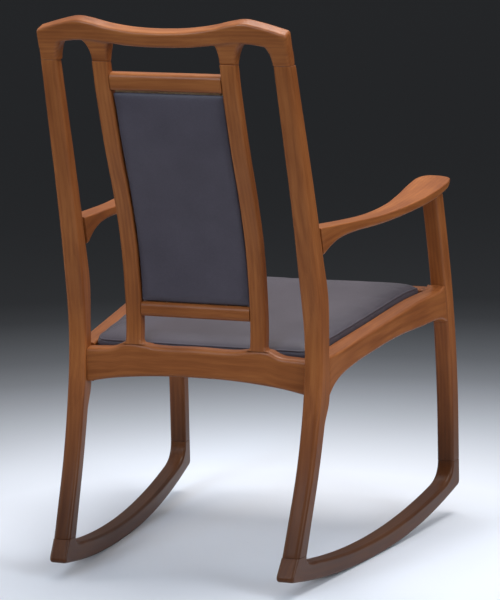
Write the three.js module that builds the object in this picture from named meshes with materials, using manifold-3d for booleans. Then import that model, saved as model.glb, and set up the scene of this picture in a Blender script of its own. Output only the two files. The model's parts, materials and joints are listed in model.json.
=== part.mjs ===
// Rocking chair with two bent side frames, a sculpted crest rail, an upholstered back panel
// and a drop-in seat pad. Millimetres, +Z up. The sitter faces -Y. The floor is z = 0, and the
// chair stands at rest on its rockers, with x = 0 as its plane of symmetry. Heights below are
// drawn from a level RISE above the floor, and the pieces are lifted by it at the end.
import * as THREE from "three";
import { mergeVertices } from "three/addons/utils/BufferGeometryUtils.js";
import Module from "manifold-3d";

const wasm = await Module();
wasm.setup();

// ---------------------------------------------------------------- driving dimensions

const RISE = 7; // level from which heights are drawn, above the floor
const HALF_WIDTH = 277; // outer face of a side frame from the middle plane, at y = 0
const SPLAY = 0.087; // how much each side frame widens per millimetre forwards
const CLEARANCE = 0.3; // gap kept between two pieces that touch
const FRAME_WIDTH = 34; // width of the rockers, front legs and lower posts
const EDGE_ROUND = 6; // rounding of the long edges of the side frames

const ROCKER_TOP_RADIUS = 1614; // of the rocker's upper edge, about a centre above y = 44
const ROCKER_TOP_LOW_Z = 25.9; // lowest point of that edge
const ROCKER_FRONT_RADIUS = 1355; // of the running edge, in front of its flat and behind it
const ROCKER_REAR_RADIUS = 1730;
const ROCKER_TOUCH_Y = 38; // where the rocker touches the floor at rest
const ROCKER_FLAT = 17; // half the length of the flat that it rests on
const FRONT_TIP_Y = -375;
const REAR_TIP_Y = 387;
const REAR_JOINT_Z = 64; // joint between rocker and rear post
const FRONT_JOINT_Z = 104; // joint between rocker and front leg
const LEG_DEPTH = 34;

const POST_FRONT_Y = 217; // straight front face of the rear post beside the seat
const CREST_JOINT_Z = 964; // joint between posts, back stiles and crest rail
const ARM_JOINT_Z = 652; // top of the front legs
const ARM_FRONT_Y = -397.6; // foremost point of the chair

const STILE_X = 125; // centre of a back stile
const STILE_WIDTH = 31;
const STILE_DEPTH = 23;
const STILE_FOOT_Z = 421;
const STILE_FOOT_RADIUS = 10; // hollow by which a stile spreads where it stands on the rail

const REAR_RAIL_FRONT_Y = 218.5;
const REAR_RAIL_DEPTH = 30;
const RAIL_INSET = 2; // side seat rails stand this far inside the frame's outer face
const RAIL_WIDTH = 38;
const FRONT_RAIL_DEPTH = 42;
const FRONT_RAIL_HALF_LENGTH = 274;
const FRONT_TENON_Y = 14; // from the front rail's front face
const FRONT_RAIL_TOP_Z = 456;

const SEAT_BOARD_THICKNESS = 9;
const SEAT_BOARD_REAR_Z = 400; // top of the seat board at its rear edge
const SEAT_SLOPE = 0.064; // rise of the seat board per millimetre forwards
const SEAT_REAR_Y = 216;
const SEAT_FRONT_Y = -296;
const SEAT_EDGE_INSET = RAIL_INSET + RAIL_WIDTH + 1.2;
const PAD_FLAT = { y: [-215, 205], z: [466, 427] }; // the pad's flat top, which slopes to the rear
const COVER_THICKNESS = 1.6;

const CREST_STUB_TOP_Z = 1008; // inside the yoke, where the crest rail's own stubs end
const CREST_THICKNESS = 30;
const CREST_LEAN = 0.3; // radians that the crest rail leans back
const CREST_BOW = 10; // how far the middle of the crest rail bows to the rear

const PANEL_TOP_RAIL = { z: 925, height: 33 };
const PANEL_BOTTOM_RAIL = { z: 488, height: 27 };
const PANEL_RAIL_DEPTH = 21;
const PANEL_HALF_WIDTH = 108.5;
const PANEL_LOW_Z = 503;
const PANEL_HIGH_Z = 907;
const PANEL_Z = [PANEL_LOW_Z, PANEL_HIGH_Z];
const PANEL_RECESS = 6; // from the rear face of the stiles forwards to the panel's rear face
const PANEL_FRONT = 28; // from the rear face of the stiles forwards to the panel's front face
const PANEL_BOARD = [PANEL_RECESS + 4.5, PANEL_RECESS + 11.5]; // rear and front faces of its board
const PANEL_BOARD_MIDDLE = (PANEL_BOARD[0] + PANEL_BOARD[1]) / 2;
const PANEL_TONGUE = 14; // how far the board rises past the cover, into the upper panel rail

// ---------------------------------------------------------------- finishes

const finish = (color, roughness, metalness = 0) => ({ color, roughness, metalness });
const WOOD = finish(0x8a5232, 0.42);
const HIDDEN_WOOD = finish(0xc49a6c, 0.7);
const UPHOLSTERY = finish(0x5b5763, 0.62);
const FOAM = finish(0xd9cfae, 0.95);
const STEEL = finish(0xa8a8a4, 0.35, 0.9);

// ---------------------------------------------------------------- curves and helpers

// A smooth curve through a few (position, value) points, as a function of position.
function smooth(points) {
  const sorted = [...points].sort((a, b) => a[0] - b[0]);
  const positions = sorted.map((point) => point[0]);
  const values = sorted.map((point) => point[1]);
  const curve = new THREE.CubicInterpolant(positions, values, 1, new Float64Array(1));
  return (at) => curve.evaluate(THREE.MathUtils.clamp(at, positions[0], positions.at(-1)))[0];
}

// Evenly spaced values from first to last.
function steps(first, last, count) {
  return Array.from({ length: count + 1 }, (_, i) => THREE.MathUtils.lerp(first, last, i / count));
}

// Half the chair's outer width at a given y: the plane of the side frame's outer face.
function outerX(y) {
  return HALF_WIDTH - SPLAY * y;
}

// A point on the left frame, measured inwards from its outer face.
function framePoint(inset, y, z) {
  return new THREE.Vector3(outerX(y) - inset, y, z);
}

function point(x, y, z) {
  return new THREE.Vector3(x, y, z);
}

// A closed ring of points round a rectangle with rounded corners. The callback turns each
// (a, b) pair in the ring's own plane into a point in space.
function roundedRing([aLow, aHigh], [bLow, bHigh], radii, place, arcSteps = 2) {
  const [lowLow, highLow, highHigh, lowHigh] = Array.isArray(radii) ? radii : Array(4).fill(radii);
  const corners = [
    [aLow + lowLow, bLow + lowLow, lowLow, Math.PI],
    [aHigh - highLow, bLow + highLow, highLow, 1.5 * Math.PI],
    [aHigh - highHigh, bHigh - highHigh, highHigh, 0],
    [aLow + lowHigh, bHigh - lowHigh, lowHigh, 0.5 * Math.PI],
  ];
  return corners.flatMap(([a, b, radius, start]) =>
    steps(start, start + Math.PI / 2, arcSteps).map((angle) =>
      place(a + radius * Math.cos(angle), b + radius * Math.sin(angle))
    )
  );
}

function signedVolume(geometry) {
  const index = geometry.index.array;
  const position = geometry.attributes.position;
  const [a, b, c] = [new THREE.Vector3(), new THREE.Vector3(), new THREE.Vector3()];
  let volume = 0;
  for (let i = 0; i < index.length; i += 3) {
    a.fromBufferAttribute(position, index[i]);
    b.fromBufferAttribute(position, index[i + 1]);
    c.fromBufferAttribute(position, index[i + 2]);
    volume += a.dot(b.cross(c)) / 6;
  }
  return volume;
}

function turnedOutwards(geometry) {
  if (signedVolume(geometry) < 0) {
    geometry.index.array.reverse();
  }
  return geometry;
}

// A closed body whose skin runs through a row of rings with the same number of points.
function loft(rings) {
  const count = rings[0].length;
  const last = (rings.length - 1) * count;
  const indices = [];
  for (let i = 0; i < rings.length - 1; i += 1) {
    for (let j = 0; j < count; j += 1) {
      const near = i * count + j;
      const next = i * count + ((j + 1) % count);
      indices.push(near, next, next + count, near, next + count, near + count);
    }
  }
  for (let j = 1; j < count - 1; j += 1) {
    indices.push(0, j + 1, j, last, last + j, last + j + 1);
  }
  const geometry = new THREE.BufferGeometry().setFromPoints(rings.flat());
  geometry.setIndex(indices);
  return turnedOutwards(geometry);
}

function solidOf(geometry) {
  const bare = geometry.clone();
  bare.deleteAttribute("normal");
  bare.deleteAttribute("uv");
  const merged = mergeVertices(bare, 1e-4);
  const vertProperties = new Float32Array(merged.attributes.position.array);
  const triVerts = new Uint32Array(merged.index.array);
  return new wasm.Manifold(new wasm.Mesh({ numProp: 3, vertProperties, triVerts }));
}

function geometryOf(solid) {
  const mesh = solid.getMesh();
  const geometry = new THREE.BufferGeometry();
  geometry.setAttribute("position", new THREE.BufferAttribute(new Float32Array(mesh.vertProperties), 3));
  geometry.setIndex(new THREE.BufferAttribute(new Uint32Array(mesh.triVerts), 1));
  return geometry;
}

function cut(geometry, ...tools) {
  return geometryOf(tools.reduce((solid, tool) => solid.subtract(solidOf(tool)), solidOf(geometry)));
}

function joined(...geometries) {
  const [first, ...rest] = geometries.map(solidOf);
  return geometryOf(rest.reduce((solid, next) => solid.add(next), first));
}

function mirrored(geometry) {
  const copy = geometry.clone().applyMatrix4(new THREE.Matrix4().makeScale(-1, 1, 1));
  if (!copy.index) {
    return mirrored(mergeVertices(geometry));
  }
  return turnedOutwards(copy);
}

// A box given by its lowest and highest corners.
function boxBetween(low, high) {
  const size = new THREE.Vector3(...high).sub(new THREE.Vector3(...low));
  const middle = new THREE.Vector3(...low).addScaledVector(size, 0.5);
  const box = new THREE.BoxGeometry(size.x, size.y, size.z);
  return box.translate(middle.x, middle.y, middle.z);
}

// ---------------------------------------------------------------- side frame outlines

// Each curve goes through (height, size) pairs.
const postRearY = smooth([
  [0, 389], [105, 343], [210, 300], [315, 271], [382, 259],
  [458, 257], [572, 275], [715, 307], [859, 345], [1002, 383],
]);
const postDepth = smooth([
  [60, 41], [150, 37], [230, 36], [300, 38], [345, 42], [400, 44], [560, 43], [700, 38], [860, 33], [970, 29],
]);
const postWidth = smooth([
  [60, FRAME_WIDTH], [300, FRAME_WIDTH], [372, 35], [450, 35.5], [560, 37], [700, 36], [970, 34],
]);
const legFrontY = smooth([[60, -375], [124, -374.5], [248, -370], [382, -356], [496, -336], [668, -294]]);

function postFrontY(z) {
  const free = postRearY(z) - postDepth(z);
  const straightened = THREE.MathUtils.smoothstep(z, 290, 350);
  const released = THREE.MathUtils.smoothstep(z, 470, 600);
  return THREE.MathUtils.lerp(free, POST_FRONT_Y, straightened * (1 - released));
}

// A post or leg as a row of level rings. Growing it makes the cutter for its neighbours.
function uprightLoft(levels, frontY, rearY, width, radii, grow = 0) {
  return loft(
    levels.map((z) =>
      roundedRing(
        [-grow, width(z) + grow],
        [frontY(z) - grow, rearY(z) + grow],
        radii,
        (inset, y) => framePoint(inset, y, z)
      )
    )
  );
}

function rearPost(grow = 0) {
  const levels = steps(REAR_JOINT_Z + CLEARANCE - grow, CREST_JOINT_Z + grow, 28);
  const radii = [5, 5, 8, 8];
  return uprightLoft(levels, postFrontY, postRearY, postWidth, radii, grow);
}

function frontLeg(grow = 0) {
  const levels = steps(FRONT_JOINT_Z + CLEARANCE - grow, ARM_JOINT_Z + grow, 14);
  const rearY = (z) => legFrontY(z) + LEG_DEPTH - THREE.MathUtils.smoothstep(z, 200, 640) * 2;
  return uprightLoft(levels, legFrontY, rearY, () => FRAME_WIDTH, EDGE_ROUND, grow);
}

// ---------------------------------------------------------------- rocker

// Height of a circular arc that is level at a given y.
function arcZ(y, levelY, lowZ, radius) {
  return lowZ + radius - Math.sqrt(radius ** 2 - (y - levelY) ** 2);
}

function rockerTopZ(y) {
  return arcZ(y, 44, ROCKER_TOP_LOW_Z, ROCKER_TOP_RADIUS);
}

// The running edge: a short flat with a tighter arc in front of it and a wider one behind.
function rockerBottomZ(y) {
  const off = y - ROCKER_TOUCH_Y;
  const radius = off < 0 ? ROCKER_FRONT_RADIUS : ROCKER_REAR_RADIUS;
  return arcZ(Math.max(Math.abs(off) - ROCKER_FLAT, 0), 0, -RISE, radius);
}

function edgePoints(fromY, toY, edgeZ, count) {
  return steps(fromY, toY, count).map((y) => new THREE.Vector2(y, edgeZ(y)));
}

function blendPoints(start, corner, end, count) {
  return new THREE.QuadraticBezierCurve(start, corner, end).getPoints(count);
}

// Side view of a rocker with its two short stubs, as y and z.
function rockerOutline() {
  const spare = 12; // the stubs are made longer and then sawn off at the joint
  const tipRound = 18;
  const legRear = FRONT_TIP_Y + LEG_DEPTH;
  const legBlendY = legRear + 44;
  const postRear = postRearY(REAR_JOINT_Z);
  const postFront = postFrontY(REAR_JOINT_Z);
  const postBlendY = postFront - 40;
  const tip = new THREE.Vector2(REAR_TIP_Y, rockerBottomZ(REAR_TIP_Y));
  const postRearJoint = new THREE.Vector2(postRear, REAR_JOINT_Z);
  const lean = (REAR_TIP_Y - postRear) / (REAR_JOINT_Z - tip.y);
  const tipEnd = tip.clone().lerp(postRearJoint, tipRound / tip.distanceTo(postRearJoint));
  const tipStart = new THREE.Vector2(REAR_TIP_Y - tipRound, rockerBottomZ(REAR_TIP_Y - tipRound));
  return new THREE.Shape([
    ...edgePoints(FRONT_TIP_Y, ROCKER_TOUCH_Y - ROCKER_FLAT, rockerBottomZ, 13),
    ...edgePoints(ROCKER_TOUCH_Y + ROCKER_FLAT, tipStart.x, rockerBottomZ, 9),
    ...blendPoints(tipStart, tip, tipEnd, 4).slice(1),
    new THREE.Vector2(postRear - lean * spare, REAR_JOINT_Z + spare),
    new THREE.Vector2(postFront - lean * spare, REAR_JOINT_Z + spare),
    ...blendPoints(new THREE.Vector2(postFront, REAR_JOINT_Z),
      new THREE.Vector2(postFront + 8, rockerTopZ(postBlendY) + 2),
      new THREE.Vector2(postBlendY, rockerTopZ(postBlendY)), 7),
    ...edgePoints(postBlendY, legBlendY, rockerTopZ, 18).slice(1),
    ...blendPoints(new THREE.Vector2(legBlendY, rockerTopZ(legBlendY)),
      new THREE.Vector2(legRear, rockerTopZ(legRear)),
      new THREE.Vector2(legRear, FRONT_JOINT_Z), 7).slice(1),
    new THREE.Vector2(legRear, FRONT_JOINT_Z + spare),
    new THREE.Vector2(FRONT_TIP_Y, FRONT_JOINT_Z + spare),
  ]);
}

function rocker() {
  const plain = new THREE.ExtrudeGeometry(rockerOutline(), {
    depth: FRAME_WIDTH - 2 * EDGE_ROUND,
    bevelThickness: EDGE_ROUND,
    bevelSize: EDGE_ROUND,
    bevelOffset: -EDGE_ROUND,
    bevelSegments: 2,
  });
  // outline x runs along +Y, outline y along +Z, and the depth along the splayed +X
  plain.applyMatrix4(new THREE.Matrix4().set(
    -SPLAY, 0, 1, HALF_WIDTH - FRAME_WIDTH + EDGE_ROUND,
    1, 0, 0, 0,
    0, 1, 0, 0,
    0, 0, 0, 1
  ));
  const frontSaw = boxBetween([200, -450, FRONT_JOINT_Z], [400, -300, 200]);
  const rearSaw = boxBetween([200, 250, REAR_JOINT_Z], [400, 450, 200]);
  return cut(plain, frontSaw, rearSaw);
}

// ---------------------------------------------------------------- seat rails

// Edges of a side seat rail, as (y, z) pairs.
const sideRailTop = smooth([
  [-330, 468], [-311, 463], [-299, 457], [-280, 455.5], [-253, 455], [-197, 453],
  [-141, 448], [-31, 436], [79, 425], [150, 418], [225, 413],
]);
const sideRailBottom = smooth([
  [-330, 384], [-311, 391], [-299, 397], [-280, 400], [-203, 400], [-90, 399], [19, 390],
  [125, 377], [177, 364], [204, 350], [222, 334],
]);

function sideSeatRail() {
  const stations = [...steps(-322, -290, 6), ...steps(-266, POST_FRONT_Y - CLEARANCE, 17)];
  return loft(
    stations.map((y) =>
      roundedRing(
        [RAIL_INSET, RAIL_INSET + RAIL_WIDTH],
        [sideRailBottom(y), sideRailTop(y)],
        [4, 4, 4, 5],
        (inset, z) => framePoint(inset, y, z)
      )
    )
  );
}

const rearRailTop = smooth([
  [0, 419], [88, 419], [98, 421], [152, 421], [158, 417], [172, 412.5], [190, 411], [240, 409],
]);
const rearRailBottom = smooth([[0, 364], [60, 363], [120, 359], [180, 352], [225, 343], [260, 336]]);

function rearSeatRail() {
  const half = [...steps(0, 88, 4), 98, 152, 158, 165, ...steps(172, 235, 4)];
  const stations = [...half.slice(1).map((x) => -x).reverse(), ...half];
  const rear = REAR_RAIL_FRONT_Y + REAR_RAIL_DEPTH;
  return loft(
    stations.map((x) =>
      roundedRing(
        [REAR_RAIL_FRONT_Y, rear],
        [rearRailBottom(Math.abs(x)), rearRailTop(Math.abs(x))],
        [5, 5, 9, 5],
        (y, z) => point(x, y, z)
      )
    )
  );
}

function frontRailY(z) {
  return legFrontY(z) + 3;
}

function frontSeatRail(grow = 0) {
  const half = FRONT_RAIL_HALF_LENGTH + grow;
  const stations = steps(-half, half, 8);
  const bottom = smooth([[0, 412], [150, 410], [240, 404], [290, 398]]);
  return loft(
    stations.map((x) =>
      roundedRing(
        [-grow, FRONT_RAIL_DEPTH + grow],
        [bottom(Math.abs(x)) - grow, FRONT_RAIL_TOP_Z + grow],
        [5, 4, 4, 7],
        (depth, z) => point(x, frontRailY(z) + depth, z)
      )
    )
  );
}

// ---------------------------------------------------------------- arms

// Each curve goes through (y, size) pairs, from the rounded front end to the post.
const armTop = smooth([
  [-398, 670], [-343, 669], [-290, 666], [-206, 658], [-110, 652], [0, 649], [110, 652], [240, 658],
]);
const armOuter = smooth([
  [-398, 254], [-386, 279], [-349, 298], [-290, 306], [-206, 304],
  [-110, 297], [0, 286], [110, 272], [240, 256],
]);
const armInner = smooth([
  [-398, 243], [-390, 234], [-365, 228], [-303, 232], [-206, 241],
  [-110, 249], [0, 247], [90, 239], [180, 224], [240, 216],
]);
const armThickness = smooth([
  [-398, 8], [-355, 12], [-290, 16], [-110, 17], [30, 18], [120, 21], [170, 27], [205, 37], [240, 52],
]);

function arm() {
  const stations = [...steps(ARM_FRONT_Y, -386, 2), ...steps(-379, -335, 3), ...steps(-312, 250, 17)];
  return loft(
    stations.map((y) => {
      const top = armTop(y);
      const thickness = armThickness(y);
      const round = Math.min(5, thickness * 0.4, (armOuter(y) - armInner(y)) * 0.4);
      return roundedRing(
        [armInner(y), armOuter(y)],
        [top - thickness, top],
        round,
        (x, z) => point(x, y, z)
      );
    })
  );
}

// ---------------------------------------------------------------- back stiles and panel rails

const stileRearY = smooth([
  [400, 252], [449, 245], [536, 250], [624, 265], [711, 292], [797, 325], [881, 353], [916, 364], [966, 376],
]);

function backStile(grow = 0) {
  const footTop = STILE_FOOT_Z + STILE_FOOT_RADIUS;
  const footLevels = steps(STILE_FOOT_Z + CLEARANCE - grow, footTop, 5);
  const shaftLevels = steps(footTop + 28, CREST_JOINT_Z + grow, 17);
  return loft(
    [...footLevels, ...shaftLevels].map((z) => {
      const down = THREE.MathUtils.clamp((footTop - z) / STILE_FOOT_RADIUS, 0, 0.98);
      const flare = STILE_FOOT_RADIUS * (1 - Math.sqrt(1 - down ** 2));
      const half = STILE_WIDTH / 2 + flare + grow;
      const rear = stileRearY(z) + grow;
      const front = stileRearY(z) - STILE_DEPTH - grow;
      return roundedRing(
        [STILE_X - half, STILE_X + half],
        [front, rear],
        [4, 4, 6, 6],
        (x, y) => point(x, y, z)
      );
    })
  );
}

function stileLean(z) {
  return Math.atan((stileRearY(z + 10) - stileRearY(z - 10)) / 20);
}

// A rail between the stiles: a rounded bar, leaning with the stiles.
function panelRail({ z: middleZ, height }) {
  const lean = stileLean(middleZ);
  const up = new THREE.Vector3(0, Math.sin(lean), Math.cos(lean));
  const rearwards = new THREE.Vector3(0, Math.cos(lean), -Math.sin(lean));
  const rearMiddle = new THREE.Vector3(0, stileRearY(middleZ) - 1, middleZ);
  const stations = [-STILE_X, STILE_X];
  return loft(
    stations.map((x) =>
      roundedRing(
        [-PANEL_RAIL_DEPTH, 0],
        [-height / 2, height / 2],
        [4, 6, 9, 5],
        (back, rise) => rearMiddle.clone().setX(x).addScaledVector(rearwards, back).addScaledVector(up, rise)
      )
    )
  );
}

// ---------------------------------------------------------------- crest rail

// Edges of the crest rail along its rear face, as (distance from the middle, z) pairs.
const crestTop = smooth([
  [0, 1019.5], [50, 1021.5], [100, 1028], [135, 1036], [162, 1040], [190, 1035], [244, 1020],
]);
const crestBottom = smooth([[0, 991.5], [60, 993], [100, 997], [164, 1001], [200, 996], [244, 980]]);

function crestRearY(z) {
  return postRearY(CREST_JOINT_Z) + Math.tan(CREST_LEAN) * (z - CREST_JOINT_Z);
}

function crestBow(x) {
  return CREST_BOW * Math.cos((Math.min(Math.abs(x), 200) / 200) * (Math.PI / 2)) ** 2;
}

// The yoke runs from post to post, with both faces leaning back.
function crestYoke() {
  const endX = outerX(postRearY(1000));
  const up = new THREE.Vector3(0, Math.sin(CREST_LEAN), Math.cos(CREST_LEAN));
  const rearwards = new THREE.Vector3(0, Math.cos(CREST_LEAN), -Math.sin(CREST_LEAN));
  return loft(
    [-endX, ...steps(-endX + 2, endX - 2, 32), endX].map((x) => {
      const low = crestBottom(Math.abs(x));
      const high = crestTop(Math.abs(x));
      const rear = new THREE.Vector3(x, crestRearY(low) + crestBow(x), low);
      const tall = (high - low) / Math.cos(CREST_LEAN);
      const inset = Math.abs(x) === endX ? 2 : 0;
      return roundedRing(
        [inset - CREST_THICKNESS, -inset],
        [inset, tall - inset],
        [5, 6, 9, 7],
        (back, rise) => rear.clone().addScaledVector(rearwards, back).addScaledVector(up, rise)
      );
    })
  );
}

// A leg of the crest rail that comes down to a post or a stile and widens into the yoke.
function crestStub(rangeAt, frontAt, rearAt, flareInner, flareOuter, radii) {
  const levels = steps(CREST_JOINT_Z + CLEARANCE, CREST_STUB_TOP_Z, 8);
  return loft(
    levels.map((z) => {
      const rise = THREE.MathUtils.inverseLerp(CREST_JOINT_Z, CREST_STUB_TOP_Z, z);
      const flare = 1 - Math.sqrt(1 - Math.min(rise, 0.96) ** 2);
      const [inner, outer] = rangeAt(z);
      return roundedRing(
        [inner - flareInner * flare, outer + flareOuter * flare],
        [frontAt(z), rearAt(z)],
        radii,
        (x, y) => point(x, y, z)
      );
    })
  );
}

function crestRail() {
  const depthAlongY = CREST_THICKNESS / Math.cos(CREST_LEAN);
  const rear = (z) => crestRearY(z) - 0.6;
  const frontFrom = (jointFrontY) => (z) =>
    THREE.MathUtils.lerp(
      jointFrontY,
      crestRearY(z) - depthAlongY + 0.8,
      THREE.MathUtils.smoothstep(z, CREST_JOINT_Z, 1000)
    );
  const postRange = (z) => [outerX(postRearY(z)) - 37, outerX(postRearY(z)) - 0.4];
  const postFront = frontFrom(postFrontY(CREST_JOINT_Z));
  const stileRange = () => [STILE_X - STILE_WIDTH / 2, STILE_X + STILE_WIDTH / 2];
  const stileFront = frontFrom(stileRearY(CREST_JOINT_Z) - STILE_DEPTH);
  const postStub = crestStub(postRange, postFront, rear, 26, 0, [5, 5, 8, 8]);
  const stileStub = crestStub(stileRange, stileFront, rear, 12, 26, [4, 4, 6, 6]);
  return joined(crestYoke(), postStub, stileStub, mirrored(postStub), mirrored(stileStub));
}

// ---------------------------------------------------------------- seat

function seatBoardTop(y) {
  return SEAT_BOARD_REAR_Z + (SEAT_REAR_Y - y) * SEAT_SLOPE;
}

const padEdge = smooth([[-296, 450], [-280, 458], [-252, 464], [-215, 466], [-150, 460]]);

function padTop(y) {
  if (y < PAD_FLAT.y[0]) {
    return padEdge(y);
  }
  const flatZ = THREE.MathUtils.mapLinear(Math.min(y, PAD_FLAT.y[1]), ...PAD_FLAT.y, ...PAD_FLAT.z);
  return flatZ - Math.max(y - PAD_FLAT.y[1], 0) / 3;
}

// A sheet or pad that fills the seat opening between two surfaces, drawn in from its edges.
function seatLayer(lowZ, highZ, drawIn, round) {
  const front = SEAT_FRONT_Y + drawIn;
  const stations = [front, front + 16, front + 44, ...PAD_FLAT.y, SEAT_REAR_Y - drawIn];
  return loft(
    stations.map((y) => {
      const half = outerX(y) - SEAT_EDGE_INSET - drawIn;
      return roundedRing([-half, half], [lowZ(y), highZ(y)], round, (x, z) => point(x, y, z));
    })
  );
}

function seatBoard() {
  return seatLayer((y) => seatBoardTop(y) - SEAT_BOARD_THICKNESS, seatBoardTop, 2, 0.5);
}

function seatFoam() {
  const top = (y) => padTop(y) - COVER_THICKNESS - CLEARANCE;
  return seatLayer((y) => seatBoardTop(y) + CLEARANCE, top, COVER_THICKNESS + CLEARANCE, [0.5, 0.5, 8, 8]);
}

// The cover wraps the foam's top and sides and is open underneath, over the board.
function seatCover() {
  const outside = seatLayer((y) => seatBoardTop(y) + CLEARANCE, padTop, 0, [0.5, 0.5, 9, 9]);
  const inside = seatLayer(
    (y) => seatBoardTop(y) - 10,
    (y) => padTop(y) - COVER_THICKNESS,
    COVER_THICKNESS,
    [0.5, 0.5, 8, 8]
  );
  return cut(outside, inside);
}

// ---------------------------------------------------------------- back panel

function panelLayer(frontRecess, rearRecess, [lowZ, highZ], drawIn, radii) {
  const half = PANEL_HALF_WIDTH - drawIn;
  return loft(
    steps(lowZ + drawIn, highZ - drawIn, 14).map((z) =>
      roundedRing(
        [-half, half],
        [stileRearY(z) - frontRecess, stileRearY(z) - rearRecess],
        radii,
        (x, y) => point(x, y, z)
      )
    )
  );
}

function backPanelBoard() {
  const [rear, front] = PANEL_BOARD;
  return panelLayer(front, rear, [PANEL_LOW_Z, PANEL_HIGH_Z + PANEL_TONGUE], 4, 0.8);
}

// The board's upper part with room round it, which cuts its groove and its way out of the cover.
function panelTongue(grow) {
  const [rear, front] = PANEL_BOARD;
  const span = [PANEL_LOW_Z, PANEL_HIGH_Z + PANEL_TONGUE + grow];
  return panelLayer(front + grow, rear - grow, span, 4 - grow, 0.8);
}

function backPanelFoam() {
  const front = PANEL_FRONT - COVER_THICKNESS - CLEARANCE;
  return panelLayer(front, PANEL_BOARD[1] + 3 * CLEARANCE, PANEL_Z, COVER_THICKNESS + CLEARANCE, 3);
}

function backPanelCover() {
  const outside = panelLayer(PANEL_FRONT, PANEL_RECESS, PANEL_Z, 0, 5);
  const openBelow = [PANEL_LOW_Z - 20, PANEL_HIGH_Z];
  const inside = panelLayer(
    PANEL_FRONT - COVER_THICKNESS,
    PANEL_BOARD[0] - CLEARANCE,
    openBelow,
    COVER_THICKNESS,
    3.5
  );
  return cut(outside, inside, panelTongue(CLEARANCE));
}

// ---------------------------------------------------------------- joinery

// A direction that stays in the side frame's plane while y and z change.
function frameDirection(dy, dz) {
  return new THREE.Vector3(-SPLAY * dy, dy, dz).normalize();
}

const UP = new THREE.Vector3(0, 0, 1);
const ACROSS = new THREE.Vector3(1, 0, 0);
const slopeAt = (curve, z) => (curve(z + 5) - curve(z - 5)) / 10;

// A loose tenon of the left half: its middle, the way it points, the direction of its width,
// its length, width and thickness, and the pieces that it joins.
const tenonOf = (name, middle, along, flat, size, hosts) => ({ name, middle, along, flat, size, hosts });

function frameTenons() {
  const postMiddle = (z) => postRearY(z) - postDepth(z) / 2;
  const postPoint = (z) => framePoint(postWidth(z) / 2, postMiddle(z), z);
  const postDirection = (z) => frameDirection(slopeAt(postRearY, z), 1);
  const legPoint = (z) => framePoint(FRAME_WIDTH / 2, legFrontY(z) + LEG_DEPTH / 2, z);
  const legDirection = (z) => frameDirection(slopeAt(legFrontY, z), 1);
  const armRearZ = 634;
  const armFrontZ = 648;
  const armRear = framePoint(postWidth(armRearZ) / 2, postFrontY(armRearZ), armRearZ);
  return [
    tenonOf("tenon_rocker_post", postPoint(REAR_JOINT_Z), postDirection(REAR_JOINT_Z),
      ACROSS, [44, 11, 18], ["rocker", "rear_post"]),
    tenonOf("tenon_rocker_leg", legPoint(FRONT_JOINT_Z), UP,
      ACROSS, [44, 11, 16], ["rocker", "front_leg"]),
    tenonOf("tenon_crest_post", postPoint(CREST_JOINT_Z), postDirection(CREST_JOINT_Z),
      ACROSS, [40, 14, 10], ["rear_post", "crest_rail"]),
    tenonOf("tenon_arm_post", armRear, frameDirection(1, 0),
      UP, [32, 26, 10], ["rear_post", "arm"]),
    tenonOf("tenon_arm_leg", legPoint(armFrontZ), legDirection(armFrontZ - 8),
      ACROSS, [24, 11, 14], ["front_leg", "arm"]),
  ];
}

function seatTenons() {
  const rearZ = 385;
  const frontZ = 427;
  const legFront = legFrontY(frontZ);
  const sideRail = RAIL_INSET + RAIL_WIDTH / 2;
  const rearRailY = REAR_RAIL_FRONT_Y + REAR_RAIL_DEPTH / 2;
  return [
    tenonOf("tenon_rear_rail", framePoint(postWidth(rearZ), rearRailY + 4, rearZ), ACROSS,
      UP, [36, 36, 9], ["rear_post", "rear_seat_rail"]),
    tenonOf("tenon_side_rail_rear", framePoint(sideRail, POST_FRONT_Y, rearZ), frameDirection(1, 0),
      UP, [26, 32, 10], ["rear_post", "side_seat_rail"]),
    tenonOf("tenon_side_rail_front", framePoint(sideRail, legFront + LEG_DEPTH, frontZ), frameDirection(1, 0),
      UP, [28, 32, 10], ["front_leg", "side_seat_rail"]),
    tenonOf("tenon_front_rail", framePoint(FRAME_WIDTH, legFront + FRONT_TENON_Y, frontZ), ACROSS,
      UP, [22, 32, 9], ["front_leg", "front_seat_rail"]),
    tenonOf("tenon_stile_foot", point(STILE_X, rearRailY, STILE_FOOT_Z), UP,
      ACROSS, [36, 16, 9], ["back_stile", "rear_seat_rail"]),
  ];
}

function backTenons() {
  const stileTop = point(STILE_X, stileRearY(CREST_JOINT_Z) - STILE_DEPTH / 2, CREST_JOINT_Z);
  const stileDirection = point(0, slopeAt(stileRearY, CREST_JOINT_Z - 14), 1).normalize();
  const panelJoint = (z) => point(STILE_X - STILE_WIDTH / 2, stileRearY(z) - STILE_DEPTH / 2, z);
  return [
    tenonOf("tenon_crest_stile", stileTop, stileDirection,
      ACROSS, [36, 13, 9], ["back_stile", "crest_rail"]),
    tenonOf("tenon_panel_top", panelJoint(PANEL_TOP_RAIL.z), ACROSS,
      UP, [26, 14, 8], ["back_stile", "panel_top_rail"]),
    tenonOf("tenon_panel_bottom", panelJoint(PANEL_BOTTOM_RAIL.z), ACROSS,
      UP, [26, 14, 8], ["back_stile", "panel_bottom_rail"]),
  ];
}

function tenonBlock(middle, along, flat, [length, width, thickness], grow) {
  const through = along.clone().cross(flat).normalize();
  const side = through.clone().cross(along);
  const box = new THREE.BoxGeometry(length + 2 * grow, width + 2 * grow, thickness + 2 * grow);
  const turn = new THREE.Matrix4().makeBasis(along, side, through).setPosition(middle);
  return box.applyMatrix4(turn);
}

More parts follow.
